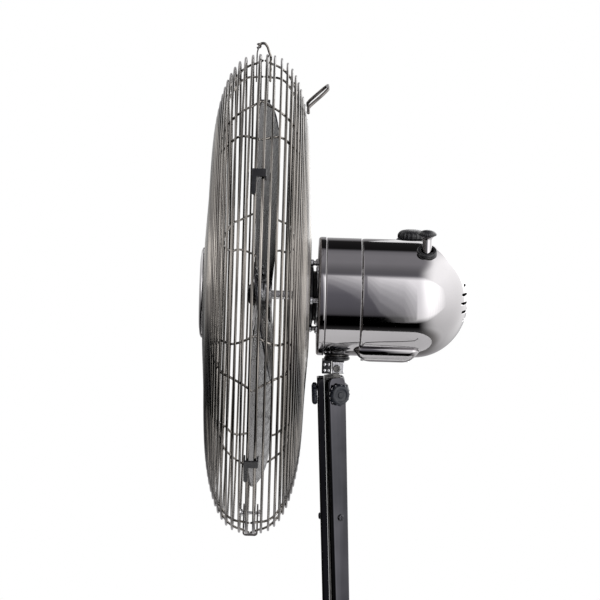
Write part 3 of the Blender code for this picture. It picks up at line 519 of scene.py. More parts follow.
def make_rear_disc():
    """Pressed disc in the middle of the rear guard: a lipped hole, a step and a rolled edge."""
    front = GUARD_PLANE + 46.6
    section = [(20.6, -2.2), (22, -2.2), (23.2, 0), (36, 0), (38, 0.9), (58, 0.9), (60, 0), (65.2, 0),
               (66, 0.7), (65.2, 1.4), (60, 1.4), (58, 2.3), (38, 2.3), (36, 1.4), (22.4, 1.4),
               (20.6, -0.8)]
    piece("rear_guard_disc", lathe(section, 0.6, 96, steps=2, ring=True),
          "wire_dark", "head", HEAD @ about_y(front))


# ---- Guard fittings ----------------------------------------------------------------------------

def rim_place(angle=0.0):
    """Place on the guard's rim, angle degrees from the top: +Z outwards, +X along the rim."""
    return move(0, GUARD_PLANE, FAN_AXIS) @ turn_by(angle, "Y") @ move(0, 0, GUARD_RADIUS)


def across_x(thickness):
    """Turn an outline drawn in (y, z) and extruded along +Z so that it stands across X."""
    turn = Matrix(((0, 0, 1, 0), (1, 0, 0, 0), (0, 1, 0, 0), (0, 0, 0, 1)))
    return move(-thickness / 2) @ turn


def ribbon(line, half):
    """Outline of a strip of metal about an open line, half its thickness to each side."""
    line = [Vector(p) for p in line]
    left, right = [], []
    for index, point in enumerate(line):
        along = (line[min(index + 1, len(line) - 1)] - line[max(index - 1, 0)]).normalized()
        normal = Vector((-along.y, along.x)) * half
        left.append(tuple(point + normal))
        right.append(tuple(point - normal))
    return left + right[::-1]


def make_top_clip():
    """Sprung strip with a curled eye in front, and the wire that it swings over the rims."""
    place, wide, half = HEAD @ rim_place(), 6.4, 3.1
    eye = (-4.9, 9.2)
    curl = [(eye[0] + 1.9 * sin(a), eye[1] - 1.9 * cos(a))
            for a in (radians(20 * step) for step in range(-3, 13))]
    strip = eased([(-6.3, -24), (-6.3, -6), (-6.3, 3), (-5.6, 6.2)], 3) + curl
    piece("top_clip_strip", plate(ribbon(strip, 0.6), wide), "wire_dark", "head",
          place @ across_x(wide), ["top_clip"], bevel=0.25)
    bail = eased([eye, (-3, 11.4), (0.6, 11.6), (3.2, 8.4), (4.4, 4.4), (6.4, 0), (6.4, -23)], 3)
    wires = bmesh.new()
    for x in (-half, half):
        tube([(x, y, z) for y, z in bail], 1.1, bm=wires)
    tube([(-half, *eye), (half, *eye)], 0.85, bm=wires)
    tube([(-half, 6.5, -23), (half, 6.5, -23)], 0.85, bm=wires, round_ends=True)
    piece("top_clip_wire", wires, "wire", "head", place, angle=80)


def make_rim_clip(side, angle):
    """Moulded hook over both rims, round at one end, with a tail that lies along a rim."""
    place = HEAD @ rim_place(angle) @ turn_by(0 if angle > 0 else 180)
    outline = [(-6.6, -5), (-6.6, 3.6), (6.2, 3.6), (6.6, -4), (5.1, -4), (5.0, 1.8), (-5.1, 1.8),
               (-5.1, -5)]
    width = 7.6
    stands_for = [] if side == "lower" else ["rim_clip_" + side]
    piece("rim_clip_body_" + side, plate(eased(outline, 0.9, closed=True), width), "plastic", "head",
          place @ across_x(width), stands_for, bevel=0.35)
    tail = [(-3.4, -6.5), (20, -6.5), (21.8, -5.4), (21.8, -3.6), (20, -2.5), (4.2, -2.5),
            (2.6, -1.4), (-3.4, -1.4)]
    piece("rim_clip_tail_" + side, plate(eased(tail, 0.8, closed=True, steps=3), 1.7), "plastic",
          "head", place @ move(0, 0, 1.85), bevel=0.4)
    ribs = bmesh.new()
    for x in (8, 12, 16):
        tube([(x, -6.0, 3.5), (x, -3.0, 3.5)], 0.28, bm=ribs, round_ends=True)
    piece("rim_clip_ribs_" + side, ribs, "plastic", "head", place, angle=80)


def make_bottom_lug():
    """Strip folded over both rims at the bottom, with the slotted screw and nut that lock it."""
    line = [(-6.4, -22), (-6.4, 5), (-5, 6.5), (5, 6.5), (6.4, 5), (6.4, -22)]
    place, width = HEAD @ rim_place(180), 8
    hole = place @ move(0, 0, -14)
    piece("bottom_lug_strip", plate(ribbon(eased(line, 1.6), 0.75), width), "wire_dark", "head",
          place @ across_x(width), ["bottom_lug"], bevel=0.3)
    head = eased([(0, -10.4), (2.6, -10.4), (3.4, -9.4), (3.4, -7.6), (1.5, -7.4)], 0.3)
    profile = head + [(1.5, 9.2), (1.2, 9.5), (0, 9.5)]
    screw = piece("lug_screw_turned", turned(profile, 32), "steel", "head", hole @ about_y(z=0),
                  ["lug_screw"])
    cut(screw, (plate([(-4, -0.5), (4, -0.5), (4, 0.5), (-4, 0.5)], 1.3),
                hole @ about_y(-10.9, z=0)))
    nut = turned([(1.7, 7.3), (3.4, 7.3), (3.4, 9.2), (1.7, 9.2)], 6, ring=True)
    piece("lug_nut", nut, "steel", "head", hole @ about_y(z=0), bevel=0.2)


def make_handle():
    """Wire bail standing up and back from the rear guard, with its feet bent along the rings."""
    rise = radians(43)
    start = Vector((0, GUARD_PLANE + 41.6, FAN_AXIS + 177))
    lift = Vector((0, cos(rise), sin(rise)))
    length, bend, half = 25, 11, 30
    side = Vector((half, 0, 0))
    right = [start + side + Vector((9, 0.5, -4)), start + side + Vector((2, 0.2, -0.6)),
             start + side + lift * 3]
    centre = start + side - Vector((bend, 0, 0)) + lift * (length - bend)
    right += [centre + Vector((x, 0, 0)) + lift * up for x, up in arc(bend, 0, 90, 9)]
    left = [Vector((-p.x, p.y, p.z)) for p in reversed(right)]
    piece("carry_handle_wire", tube(right + left, 1.5, 12, round_ends=True), "wire_dark", "head", HEAD,
          ["carry_handle"], angle=80)


def make_badge():
    """Dished cap on the front of the guard, with a turned groove and a raised edge."""
    place = HEAD @ about_y(GUARD_PLANE - 53)
    cap = [(0, 1.6), (10, 1.5), (24, 1.0), (27, 0.2), (28, 0), (33, 0), (34, 0.3), (39.2, 0.8),
           (41.6, 2), (42, 2.8), (41.4, 3.4), (38, 3.2), (0, 3.2)]
    piece("badge_cap", lathe(cap, 0.8, 96, steps=3), "chrome", "head", place, ["badge"])
    clamp = [(0, 6.4), (14, 6.4), (16, 7), (16, 8), (0, 8)]
    piece("badge_clamp", lathe(clamp, 0.4, 48), "plastic", "head", place, ["badge_retainer"])


# ---- Blade -------------------------------------------------------------------------------------

BLADE_RADIUS = 182.0
BLADE_PLANE = -69.5


def blade_point(radius, share, side):
    """A point of a blade's skin: radius from the axis, share from leading to trailing edge."""
    reach = (radius - 13) / (BLADE_RADIUS - 13)
    chord = 30 + 92 * sin(radians(20 + 95 * reach)) ** 1.5
    lead = 8 * sin(pi * reach)
    angle = ((share - 0.5) * chord + lead) / max(radius, 26)
    twist = radians(13 - 4 * reach)
    camber = 2.4 * (1 - (2 * share - 1) ** 2)
    half = 0.7 * min(1.0, 8 * min(share, 1 - share) + 0.25)
    depth = (share - 0.5) * chord * tan(twist) - camber + side * half
    return Vector((radius * cos(angle), radius * sin(angle), depth))


def blade_mesh(rows_count=26, steps=18):
    """One pitched blade with a round tip, thinned towards its edges."""
    bm = bmesh.new()
    rows = []
    for row in range(rows_count + 1):
        out = row / rows_count
        base = 9 + (BLADE_RADIUS - 3 - 9) * out
        top, low = [], []
        for step in range(steps + 1):
            share = step / steps
            corner = abs(2 * share - 1) ** 5 * 13 * out ** 8
            top.append(blade_point(base - corner, share, 1))
            low.append(blade_point(base - corner, share, -1))
        rows.append([bm.verts.new(point) for point in top + low[::-1]])
    bridge(bm, rows, len(rows[0]))
    for end in (rows[0], rows[-1]):
        for step in range(steps):
            bm.faces.new((end[step], end[step + 1], end[-2 - step], end[-1 - step]))
    return bm


def make_blade():
    place = HEAD @ about_y(BLADE_PLANE)
    for index in range(4):
        piece(f"blade_{index + 1}", blade_mesh(), "blade", "rotor", place @ turn_by(90 * index),
              angle=50)
    hub = [(4.3, -8), (8, -8), (12, -6.8), (13.4, -3.4), (13.4, -1), (12.6, -0.4), (12.6, 1.6),
           (13.4, 2.2), (13.4, 7.4), (11.5, 7.4), (11, 5.2), (4.3, 5.2)]
    piece("blade_hub", lathe(hub, 0.7, 64, steps=3, ring=True), "cast", "rotor", place, ["fan_blade"])
    rivet = eased([(0, -1.6), (1.6, -1.3), (2.4, -0.2), (2.4, 0.8), (0, 0.8)], 0.5)
    spots = []
    for index in range(4):
        angle = radians(90 * index + 8)
        for radius in (19, 26):
            depth = blade_point(radius, 0.5, -1).z
            spots.append(move(radius * cos(angle), radius * sin(angle), depth))
    rivets = merged(*[(turned(rivet, 20), spot) for spot in spots])
    piece("blade_rivets", rivets, "steel", "rotor", place)

    def flutes(angle, radius, height):
        return radius - (0.7 * max(0.0, cos(12 * angle)) ** 2 if radius > 8 else 0)

    nut = [(2.7, -84.6), (6.4, -84.6), (7.4, -84.2), (10.2, -81.6), (11, -79.6), (11, -77.9),
           (2.7, -77.9)]
    bm = lathe(nut, 0.6, 96, steps=3, wave=flutes, ring=True)
    piece("blade_nut_fluted", bm, "plastic", "rotor", ON_AXIS, ["blade_nut"])
    shaft = [(0, -85), (1.9, -85), (2.4, -84.5)]
    for step in range(9):
        shaft += [(2.4, -84 + 0.8 * step), (2.05, -83.6 + 0.8 * step)]
    shaft += [(2.4, -77), (3.6, -76.8), (4, -76.3), (4, 67.6), (3.6, 68), (0, 68)]
    piece("shaft_turned", turned(shaft, 48), "steel", "rotor", ON_AXIS, ["shaft"])


# ---- Motor housing -----------------------------------------------------------------------------

def dome(radius, start, end, steps=28):
    """Points (radius, depth) of the dome, from its rim to its tip."""
    points = []
    for step in range(steps):
        angle = radians(90 * step / steps)
        points.append((radius * cos(angle), start + (end - start) * sin(angle)))
    return points + [(0, end)]


def envelope():
    """The housing's outer shape, a little larger, to trim what sits on it."""
    grow = 0.15
    radius = HOUSING_RADIUS + grow
    profile = [(0, -22), (radius, -22)] + dome(radius, DOME_START, DOME_END + grow)
    return turned(profile, 128), ON_AXIS


def pin(radius, low, high, sides=48):
    """A plain cutter about +Z."""
    return turned([(0, low), (radius, low), (radius, high), (0, high)], sides)


def make_front_plate():
    """Motor front: a pressed disc with a rolled rim, a shallow step and four screws."""
    r = HOUSING_RADIUS + 0.5
    profile = [(7, -20), (30, -20), (32, -19.2), (46, -19.2), (48, -20), (r - 1.5, -20),
               (r, -18.5), (r, -13), (r - 1.2, -13), (r - 1.6, -17.6), (7, -17.6)]
    piece("motor_front_disc", lathe(profile, 0.9, 128, ring=True), "chrome",
          "head", ON_AXIS, ["motor_front_plate"])
    screw = eased([(0, -22.2), (2.6, -22.2), (3.6, -21.2), (3.6, -19), (0, -19)], 0.4)
    screws = merged(*[(turned(screw, 28), turn_by(45 + 90 * index) @ move(39)) for index in range(4)])
    piece("motor_front_screws", screws, "steel", "head", ON_AXIS)


def make_front_shell():
    """Open drum in front of the seam, with a hole below for the swivel."""
    front, seam = -12.6, HOUSING_SEAM - SEAM_GAP
    outer, inner = HOUSING_RADIUS, HOUSING_RADIUS - HOUSING_WALL
    profile = [(inner, front), (outer - 0.5, front), (outer, front + 0.6), (outer, seam - 0.5),
               (outer - 0.5, seam), (inner, seam)]
    shell = piece("housing_front_drum", turned(profile, 160, ring=True), "chrome", "head", ON_AXIS,
                  ["housing_front_shell"])
    cut(shell, (pin(9.6, 0, 30), HEAD))


def slot_outline(half, height):
    """Slot with round ends."""
    radius = height / 2
    right = arc(radius, -90, 90, 8, half - radius)
    return right + [(-x, -y) for x, y in right]


KNOB_SPOT = (26.0, 79.0)
KNOB_LEAN = 28.5
DIAL_SPOT = (-26.0, 67.0)
VENTS = [19, 27, 30, 27, 19]  # half lengths, from the lowest slot up
VENT_STEP = 8
VENT_HEIGHT = 3.2


def make_rear_shell():
    """Cylinder and dome in one deep-drawn shell, with vent slots behind and holes on top."""
    seam, sides = HOUSING_SEAM + SEAM_GAP, 160
    outer, inner = HOUSING_RADIUS, HOUSING_RADIUS - HOUSING_WALL
    outside = [(inner, seam), (outer - 0.7, seam), (outer - 0.3, seam + 0.7),
               (outer - 0.1, seam + 2.2), (outer - 0.02, seam + 4), (outer, seam + 5)]
    outside += [(outer, seam + 5 + (DOME_START - seam - 5) * step / 4) for step in range(1, 4)]
    outside += dome(outer, DOME_START, DOME_END)
    inside = dome(inner, DOME_START, DOME_END - HOUSING_WALL)[::-1]
    bm = turned(outside, sides)
    turned(inside, sides, bm=bm)
    verts = list(bm.verts)
    join_rows(bm, verts[:sides], verts[-sides:], sides)
    shell = piece("housing_rear_dome", bm, "chrome", "head", ON_AXIS, ["housing_rear_shell"])
    smooth = linked("smooth", shell.data.copy())
    cuts = []
    for index, half in enumerate(VENTS):
        height = FAN_AXIS + (index - 2) * VENT_STEP
        cuts.append((plate(slot_outline(half, VENT_HEIGHT), 35), HEAD @ about_y(95, height)))
    for x, y in (KNOB_SPOT, DIAL_SPOT):
        cuts.append((pin(5.2, 90, 140), HEAD @ move(x, y)))
    cut(shell, *cuts)
    keep_shading(shell, smooth)


def keep_shading(obj, smooth):
    """Copy the uncut surface's normals on to the cut one, so that it still shines evenly."""
    modifier = obj.modifiers.new("normals", "DATA_TRANSFER")
    modifier.object = smooth
    modifier.use_loop_data = True
    modifier.data_types_loops = {"CUSTOM_NORMAL"}
    modifier.loop_mapping = "POLYINTERP_NEAREST"
    modifier.max_distance = 0.05 * MM
    modifier.use_max_distance = True
    keep_result(obj, all_layers=True)
    bpy.data.objects.remove(smooth)


def make_bottom_cover():
    """Tub with sloped, rounded sides under the housing."""
    wide, long, middle = 36, 32.5, 44.5
    front, rear = middle - long, middle + long
    outline = eased([(-wide, front), (wide, front), (wide, rear), (-wide, rear)], 9, closed=True,
                    steps=8)
    # How much narrower and shorter the tub is at each height.
    slope = [(18, 17, 9), (13, 14.4, 9.35), (9, 11.8, 10.4), (5.6, 9.2, 12.2), (3, 6.6, 14.6),
             (1.2, 4, 17.6), (0.3, 1.6, 21), (0, 0, 25)]
    rows = []
    for narrow, short, height in slope:
        rows.append([(x * (1 - narrow / wide), middle + (y - middle) * (1 - short / long), height)
                     for x, y in outline])
    tub = piece("bottom_pan", lofted(rows), "chrome", "head", HEAD, ["bottom_cover"], angle=50)
    cut(tub, envelope())
    screw = eased([(0, 8.7), (1.6, 8.7), (2.6, 9), (2.6, 9.8), (0, 9.8)], 0.2)
    screws = merged(*[(turned(screw, 20), move(x, y)) for x in (-14, 14) for y in (24, 65)])
    piece("bottom_pan_screws", screws, "steel", "head")


# ---- Controls ----------------------------------------------------------------------------------

def make_controls():
    """Mushroom knob on its stem, ribbed dial, and the moulded bases that they stand on."""
    spot = HEAD @ move(*KNOB_SPOT)
    stem = [(0, 96), (3.2, 96), (3.2, 108), (4.4, 110), (4.4, 125), (4.9, 126.8), (6.4, 127.9)]
    piece("oscillation_stem", turned(eased(stem + [(0, 128.4)], 0.6), 64), "chrome",
          "oscillation_button", spot, ["oscillation_knob"])
    cap = [(0, 127.9), (6.2, 127.9), (7.9, 128.6), (8.5, 129.5), (8.3, 130.5), (7.0, 131.9),
           (4.8, 133), (2.6, 133.6), (0, 133.8)]

    def scallops(angle, radius, height):
        return radius - (0.25 * max(0.0, cos(24 * angle)) if 7.9 < radius < 8.45 else 0)

    piece("oscillation_cap", lathe(cap, 0.8, 144, wave=scallops), "plastic", "oscillation_button", spot)
    seat = HEAD @ move(0, KNOB_SPOT[1], FAN_AXIS) @ turn_by(KNOB_LEAN, "Y")
    make_base("knob_base", seat, (6.2, 9.4), (48, 56.2), "knob_collar")
    make_base("dial_base", HEAD @ move(*DIAL_SPOT), (4, 14.6), (100, 119.2), "dial_collar")
    make_dial()


def make_base(name, place, radii, heights, node_name):
    """Moulded ring for a control to stand on, trimmed to the housing."""
    (inner, outer), (low, top) = radii, heights
    profile = [(inner, low), (outer, low), (outer, top - 1.0), (outer - 0.9, top), (inner, top)]
    base = piece(name, lathe(profile, 0.5, 96, ring=True), "plastic", "head", place, [node_name])
    cut(base, envelope())


def make_dial():
    """Ribbed cap with a pointer on its top."""
    def ribs(angle, radius, height):
        wave = max(0.0, cos(20 * angle)) ** 0.6
        return radius - (0.75 * (1 - wave) if radius > 11.9 and height < 125.6 else 0)

    profile = [(0, 98), (3, 98), (3, 119.6), (13.2, 119.6), (13.6, 120), (13.6, 122.4),
               (13.2, 123.6), (12.2, 125), (10.4, 126.2), (7.4, 127), (3.4, 127.4), (0, 127.5)]
    piece("speed_dial_cap", lathe(profile, 0.5, 240, wave=ribs), "plastic", "dial",
          HEAD @ move(*DIAL_SPOT), ["speed_dial"])
    pointer = tube([(0, 4.5, 127.25), (0, 10.2, 126.3)], 0.32, round_ends=True)
    piece("dial_pointer", pointer, "grey", "dial", HEAD @ move(*DIAL_SPOT), angle=80)


# ---- Guard mount and neck ----------------------------------------------------------------------

def make_guard_mount():
    """Grooved boss, the ring nut that clamps the rear guard on it, and four spacers."""
    boss = [(9, -35.5), (19.2, -35.5), (20, -34.8)]
    for step in range(3):
        boss += [(20, -33.6 + 1.9 * step), (19.3, -33 + 1.9 * step), (20, -32.4 + 1.9 * step)]
    boss += [(20, -28), (27, -28), (27, -24.4), (23, -23.8), (23, -20.3), (9, -20.3)]
    piece("guard_boss_turned", lathe(boss, 0.5, 96, steps=2, ring=True),
          "plastic", "head", ON_AXIS, ["guard_boss"])

    def grips(angle, radius, height):
        return radius + (1.1 * cos(12 * angle) if radius > 28 else 0)

    nut = [(20.4, -36.8), (26.5, -36.8), (30.4, -36), (31, -35), (31, -31), (30.4, -30),
           (20.4, -30)]
    piece("guard_ring_nut", lathe(nut, 0.5, 192, steps=2, wave=grips, ring=True),
          "plastic", "head", ON_AXIS, ["guard_nut"])
    spacer = eased([(0, -27.8), (3.4, -27.8), (3.4, -24.6), (2.2, -24.2), (2.2, -19), (0, -19)], 0.3)
    spacers = merged(*[(turned(spacer, 28), turn_by(90 * index) @ move(30.6)) for index in range(4)])
    piece("guard_spacers", spacers, "cast", "head", ON_AXIS)


def make_neck():
    """Cast yoke on the tilt pin, the block that hides the post, and the swivel's collar."""
    half, inner = 11.5, 9.2
    outline = [(-half, -4.6), (-inner, -4.6), (-inner, 4.2), (inner, 4.2), (inner, -4.6),
               (half, -4.6), (half, 6.5), (-half, 6.5)]
    yoke = piece("tilt_yoke", plate(outline, 11.5), "cast", "neck",
                 HEAD @ move(0, 7, 0) @ turn_by(90, "X"),
                 ["tilt_bracket"], bevel=1.0, segments=4)
    cut(yoke, (pin(2.2, -20, 20), HEAD @ facing((1, 0, 0))))
    head = eased([(1.6, 11.9), (3.4, 11.9), (3.4, 13), (3.0, 13.4), (1.7, 13.4), (1.7, 12.2)], 0.25,
                 steps=2)
    ends = merged(*[(turned(head, 40, ring=True), facing((sign, 0, 0))) for sign in (1, -1)])
    body = turned([(0, -12.4), (1.9, -12.4), (1.9, 12.4), (0, 12.4)], 32)
    piece("tilt_pin_rolled", merged((ends, Matrix()), (body, facing((1, 0, 0)))), "iron", "neck",
          HEAD, ["tilt_pin"])
    block = eased([(-8.5, -4.3), (8.5, -4.3), (8.5, 4.3), (-8.5, 4.3)], 1.8, closed=True, steps=5)
    piece("neck_block", plate(block, 12), "plastic", "neck", HEAD @ move(0, -9.4, -5.5),
          ["neck_cover"], bevel=0.8)
    screw = eased([(0, 8.6), (1.5, 8.6), (1.5, 8.9), (0.9, 9.3), (0, 9.3)], 0.2)
    sides = [(turned(screw, 24), move(0, -9.4 + y, z) @ facing((sign, 0, 0)))
             for sign in (1, -1) for y, z in ((-1.9, 3.2), (1.9, 3.2), (-1.9, -2.4), (1.9, -2.4))]
    piece("neck_block_screws", merged(*sides), "steel", "neck")
    collar = [(4.3, 6.8), (11, 6.8), (12, 7.6), (12, 9), (11.2, 9.6), (11.2, 10.9), (4.3, 10.9)]
    piece("swivel_dish", lathe(collar, 0.4, 96, ring=True), "plastic", "head", HEAD, ["swivel_collar"])


# ---- Stand -------------------------------------------------------------------------------------

LEG_OFFSET = 9.4
LEG_THICK = 6.6
LEG_WALL = 1.6
FLOOR = -PIVOT.z / MM
LEG_TOP = -9.0
SHOULDER = 9
LEG_BEND = FLOOR + 700
LEG_END = FLOOR + 20
FOOT_REACH = 312.0
LEG_ANGLES = {"front": -90, "right": 30, "left": 150}
KNOB_HEIGHT = -24.5
SCREW_HEIGHT = -141.0


def column_turn(side):
    """Place of a leg: +X is outwards, +Z is up."""
    return COLUMN @ turn_by(LEG_ANGLES[side])


def leg_line(steps=48):
    """Points (reach, height) of a leg's centre line: straight down, then one long sweep out."""
    drop, run = LEG_BEND - LEG_END, FOOT_REACH - 8 - LEG_OFFSET
    radius = (run * run + drop * drop) / (2 * run)
    sweep = asin(drop / radius)
    points = [(LEG_OFFSET, LEG_TOP - down) for down in (0, 1, 2, 3.5, 5, 7, 9)]
    start, parts = LEG_TOP - SHOULDER, 16
    points += [(LEG_OFFSET, start + (LEG_BEND - start) * step / parts) for step in range(1, parts)]
    for step in range(steps + 1):
        angle = sweep * step / steps
        points.append((LEG_OFFSET + radius * (1 - cos(angle)),
                       LEG_BEND - radius * sin(angle)))
    return points


def leg_width(height):
    """Width of a leg: a round shoulder at the top, then a slow taper to the bend."""
    fall = min(1.0, (LEG_TOP - height) / (LEG_TOP - LEG_BEND))
    width = 19.3 - 3.3 * fall
    down = (LEG_TOP - height) / SHOULDER
    if down < 1:
        width -= 7 * (1 - sqrt(1 - (1 - down) ** 2))
    return width


def leg_section(width):
    """Pressed channel (across, outwards): a shallow U with round corners and a hollow back."""
    half, front, bend, ease = width / 2, LEG_THICK / 2, 2.2, 0.3
    inner, back = half - LEG_WALL, front - LEG_WALL
    outside = [(half - ease, -front), (half, -front + ease)]
    outside += arc(bend, 0, 90, 6, half - bend, front - bend)
    hollow = [(inner - 2 * ease, back), (inner, back - 2 * ease), (inner, -front + ease),
              (inner + ease, -front)]
    return outside + [(-x, y) for x, y in outside[::-1] + hollow[::-1]] + hollow


def leg_bar():
    """The pressed channel of a leg, all along its centre line."""
    line = leg_line()
    rows = []
    for index, (reach, height) in enumerate(line):
        before, after = line[max(index - 1, 0)], line[min(index + 1, len(line) - 1)]
        slope = Vector((after[0] - before[0], 0, after[1] - before[1])).normalized()
        outwards = Vector((-slope.z, 0, slope.x))
        centre = Vector((reach, 0, height))
        rows.append([centre + outwards * out + Vector((0, across, 0))
                     for across, out in leg_section(leg_width(height))])
    return lofted(rows)


def make_leg(side):
    """A leg with its two holes, its clamp knob, its cross-head screw and its foot."""
    turn = column_turn(side)
    leg = piece("leg_pressing_" + side, leg_bar(), "leg", "stand", turn, ["leg_" + side], angle=40)
    cuts = [(pin(radius, -10, 10, 32), turn @ facing((1, 0, 0), (LEG_OFFSET, 0, height)))
            for radius, height in ((2.4, KNOB_HEIGHT), (1.9, SCREW_HEIGHT))]
    cut(leg, *cuts)
    rim = [(x, y, 0.05) for x, y in circle(8.9, sides=72)]
    knob = turn @ facing((1, 0, 0), (LEG_OFFSET + LEG_THICK / 2, 0, KNOB_HEIGHT))
    piece("knob_seat_" + side, tube(rim, 0.35, closed=True), "cast", "stand", knob, angle=80)
    make_leg_knob(side, knob)
    face = turn @ facing((1, 0, 0), (LEG_OFFSET + LEG_THICK / 2, 0, SCREW_HEIGHT))
    screw = eased([(0, -3.2), (1.6, -3.2), (1.6, 0.05), (3.2, 0.05), (3.2, 0.8), (2.3, 1.6),
                   (0, 2.0)], 0.3)
    obj = piece("leg_screw_turned_" + side, turned(screw, 40), "leg", "stand", face,
                ["leg_screw_" + side])
    cross = [[(-2, -0.35), (2, -0.35), (2, 0.35), (-2, 0.35)],
             [(-0.35, -2), (0.35, -2), (0.35, 2), (-0.35, 2)]]
    cut(obj, *[(plate(outline, 2), face @ move(0, 0, 1.1)) for outline in cross])
    make_foot(side, turn)


def make_leg_knob(side, place):
    """Lobed clamp knob with a dished face and its steel stud."""
    def lobes(angle, radius, height):
        if radius < 8 or height > 5.6:
            return radius
        return radius * (0.945 + 0.055 * cos(12 * angle))

    profile = [(0, 0.3), (9.0, 0.3), (10.1, 1.0), (10.5, 1.9), (10.5, 4.3), (10.0, 5.2), (8.6, 6.1),
               (7.4, 6.6), (6.6, 6.6), (5.6, 5.9), (4.2, 5.5), (0, 5.5)]
    if side == "front":  # flatter, to let the guard swing past
        place = place @ Matrix.Diagonal((1, 1, 0.78, 1))
    piece("leg_knob_grip_" + side, lathe(profile, 0.5, 192, wave=lobes), "grip",
          "knob_" + side, place, ["leg_knob_" + side])
    stud = eased([(0, -6.4), (1.7, -6.4), (2.1, -6), (2.1, 0.4), (0, 0.4)], 0.2)
    cap = eased([(0, 5.3), (3.1, 5.3), (3.1, 5.9), (2.2, 6.4), (0, 6.5)], 0.3)
    piece("leg_knob_stud_" + side, turned(stud, 32), "steel", "knob_" + side, place)
    piece("leg_knob_cap_" + side, turned(cap, 32), "grip", "knob_" + side, place)


def make_foot(side, turn):
    """Rubber shoe: round and flat on the floor, drawn in to the leg's slanting end."""
    line = leg_line()
    (reach, height), (reach_before, height_before) = line[-1], line[-2]
    heading = Vector((reach - reach_before, 0, height - height_before)).normalized()
    outwards = Vector((-heading.z, 0, heading.x))
    end = Vector((reach, 0, height)) + heading * 0.3
    half_wide, half_thick = leg_width(height) / 2 + 1, LEG_THICK / 2 + 1
    sole, sides, steps = Vector((FOOT_REACH, 0, FLOOR)), 48, 8
    rows = [[sole + Vector((x, y, level)) for x, y in circle(radius, sides=sides)]
            for radius, level in ((11.7, 0), (12.5, 0.2), (12.9, 0.9), (12.9, 1.8), (12.6, 2.4))]
    edge = rows[-1]
    top = [end + outwards * (half_thick * copysign(abs(x) ** 0.6, x))
           + Vector((0, half_wide * copysign(abs(y) ** 0.6, y), 0))
           for x, y in circle(1, sides=sides)]
    for step in range(1, steps + 1):
        share = step / steps
        waist = 0.05 * sin(pi * share)
        rows.append([low.lerp(high, share) * (1 - waist) + sole.lerp(end, share) * waist
                     for low, high in zip(edge, top)])
    piece("shoe_" + side, lofted(rows), "rubber", "stand", turn, ["foot_" + side], angle=45)


# ---- Room --------------------------------------------------------------------------------------

def make_floor():
    bm = turned([(0, 0), (0.4, 0), (0.62, 0)], 96)
    mesh = bpy.data.meshes.new("floor")
    bm.to_mesh(mesh)
    bm.free()
    mesh.materials.append(make_look("pale_floor", [(0.83, 0.83, 0.83), (0.86, 0.86, 0.86)],
                                    (0.9, 0.9), mottle=2))
    floor = linked("floor", mesh)
    floor.location = (0, 0, -1 * MM)


def make_light(name, place, aim, width, height, power):
    data = bpy.data.lights.new(name, "AREA")
    data.shape = "RECTANGLE"
    data.size, data.size_y, data.energy = width, height, power
    lamp = linked(name, data)
    lamp.location = place
    lamp.rotation_euler = (Vector(aim) - Vector(place)).to_track_quat("-Z", "Y").to_euler()
    lamp.visible_camera = False


def make_lights():
    """Eight nested panels that glow most in the middle, at the right side, and two soft boxes."""
    glow, height = 0.72, 1.22
    for step in range(8):
        left, right = 0.14 + 0.02 * step, 0.9 * 1.22 ** step
        wide, tall, middle = right - left, 2.34 - 0.07 * step, (left + right) / 2
        make_light(f"side_{step}", (1.15 + 0.005 * step, middle, height), (0, middle, height), wide,
                   tall, glow * wide * tall)
    make_light("far_box", (-1.4, 0.85, 1.3), (0, 0.5, 1.12), 1.3, 1.2, 6)
    make_light("front_box", (0.6, -2.6, 2.0), (0, 0, 0.95), 1.6, 1.2, 20)


def world_lobe(tree, value, low, high, strength):
    """Soft patch of bright room, as a number that grows along one axis of the direction."""
    return node(tree, "ShaderNodeMapRange", [("Value", value)], interpolation_type="SMOOTHSTEP",
                From_Min=low, From_Max=high, To_Min=0.0, To_Max=strength).outputs[0]


# The room seen around the fan: degrees up from its right side, brightness, and how blue it is.
ROOM = [(-180, 0.5, 1.0), (-152, 0.5, 1.0), (-126, 0.3, 0.97), (-95, 0.4, 0.94), (-73, 0.25, 0.95),
        (-56, 0.04, 1.0), (-50, 0.0, 1.0), (-31, 0.0, 1.0), (-26, 0.16, 1.08), (-12, 0.22, 1.12),
        (12, 0.28, 1.12), (28, 0.42, 1.08), (44, 0.6, 1.05), (50, 0.55, 1.05), (54, 0.26, 1.08),
        (62, 0.3, 1.05), (79, 0.5, 1.04), (99, 0.5, 1.04), (109, 0.4, 1.05), (116, 0.02, 1.0),
        (148, 0.03, 1.0), (162, 0.5, 1.0), (180, 0.5, 1.0)]


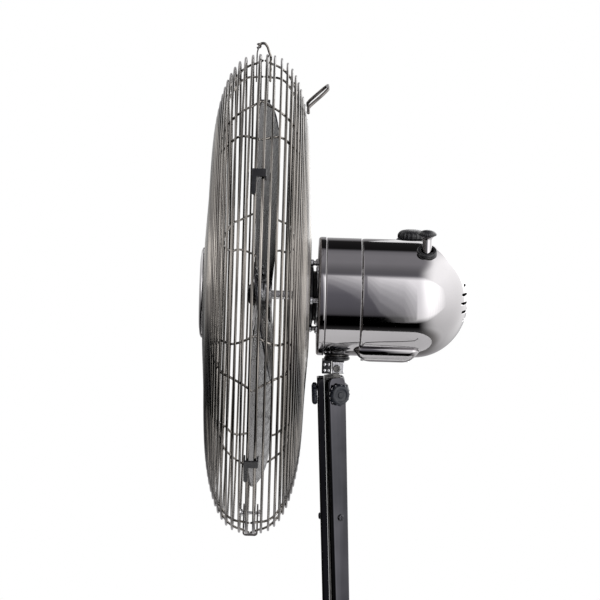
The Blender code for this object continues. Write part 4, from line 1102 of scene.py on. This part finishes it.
def make_world():
    """White behind the object for the eye; for its reflections a room, bright at the rear."""
    world = bpy.data.worlds.new("studio")
    bpy.context.scene.world = world
    world.use_nodes = True
    tree = world.node_tree
    tree.nodes.clear()
    heading = node(tree, "ShaderNodeTexCoord").outputs["Generated"]
    axes = node(tree, "ShaderNodeSeparateXYZ", [(0, heading)])
    around = node(tree, "ShaderNodeMath", [(0, axes.outputs["Z"]), (1, axes.outputs["X"])],
                  operation="ARCTAN2")
    turn = node(tree, "ShaderNodeMapRange", [("Value", around.outputs[0])], From_Min=-pi,
                From_Max=pi)
    ramp = node(tree, "ShaderNodeValToRGB", [(0, turn.outputs[0])])
    for degrees, _, _ in ROOM[1:-1]:
        ramp.color_ramp.elements.new(degrees / 360 + 0.5)
    for element, (degrees, shade, blue) in zip(ramp.color_ramp.elements, ROOM):
        element.position = degrees / 360 + 0.5
        element.color = (shade, shade * 0.98, shade * blue, 1)
    rear = world_lobe(tree, axes.outputs["Y"], 0.1, 0.7, 1.0)
    for axis, low, high in (("Z", 0.97, 0.8), ("Z", -0.92, -0.74), ("X", -0.98, -0.88)):
        edge = world_lobe(tree, axes.outputs[axis], low, high, 1.0)
        rear = node(tree, "ShaderNodeMath", [(0, rear), (1, edge)], operation="MULTIPLY").outputs[0]
    height = node(tree, "ShaderNodeMapRange", [("Value", axes.outputs["Z"])], From_Min=-0.7,
                  From_Max=0.5, To_Min=1.4, To_Max=2.8)
    front = world_lobe(tree, axes.outputs["Y"], -0.12, -0.5, 1.0)
    window = world_lobe(tree, axes.outputs["Z"], -0.3, 0.2, 1.5)
    shade = ramp.outputs[0]
    for share, patch in ((front, window), (rear, height.outputs[0])):
        shade = node(tree, "ShaderNodeMix", [(0, share), (4, shade), (5, patch)],
                     data_type="VECTOR").outputs[1]
    room = node(tree, "ShaderNodeBackground", [("Color", shade)], Strength=1.0)
    paper = node(tree, "ShaderNodeBackground", Color=(1, 1, 1, 1), Strength=1.0)
    seen = node(tree, "ShaderNodeLightPath").outputs["Is Camera Ray"]
    both = node(tree, "ShaderNodeMixShader",
                [(0, seen), (1, room.outputs[0]), (2, paper.outputs[0])])
    node(tree, "ShaderNodeOutputWorld", [(0, both.outputs[0])])


def make_camera():
    """Square picture of the head and the upper stand, seen from its right and a little above."""
    centre = Vector((0, PIVOT.y - 32.5 * MM, PIVOT.z + 63.6 * MM))
    rise, roll, distance, view, sensor = radians(8), 1.45, 3.0, 557 * MM, 36
    data = bpy.data.cameras.new("camera")
    data.sensor_width = sensor
    data.lens = sensor * distance / view
    data.clip_end = 60
    camera = linked("camera", data)
    back = Vector((cos(rise), 0, sin(rise)))
    camera.location = centre + back * distance
    camera.rotation_mode = "QUATERNION"
    turn = (-back).to_track_quat("-Z", "Y").to_matrix().to_4x4()
    camera.rotation_quaternion = (turn @ turn_by(-roll)).to_quaternion()
    bpy.context.scene.camera = camera


make_guard()
make_top_clip()
make_rim_clip("right", 54)
make_rim_clip("left", -42)
make_rim_clip("lower", 124)
make_bottom_lug()
make_handle()
make_badge()
make_blade()
make_front_plate()
make_front_shell()
make_rear_shell()
make_bottom_cover()
make_controls()
make_guard_mount()
make_neck()
for leg_side in LEG_ANGLES:
    make_leg(leg_side)
dress_frame()
make_floor()
make_world()
make_lights()
make_camera()
bpy.context.scene.view_settings.view_transform = "Standard"
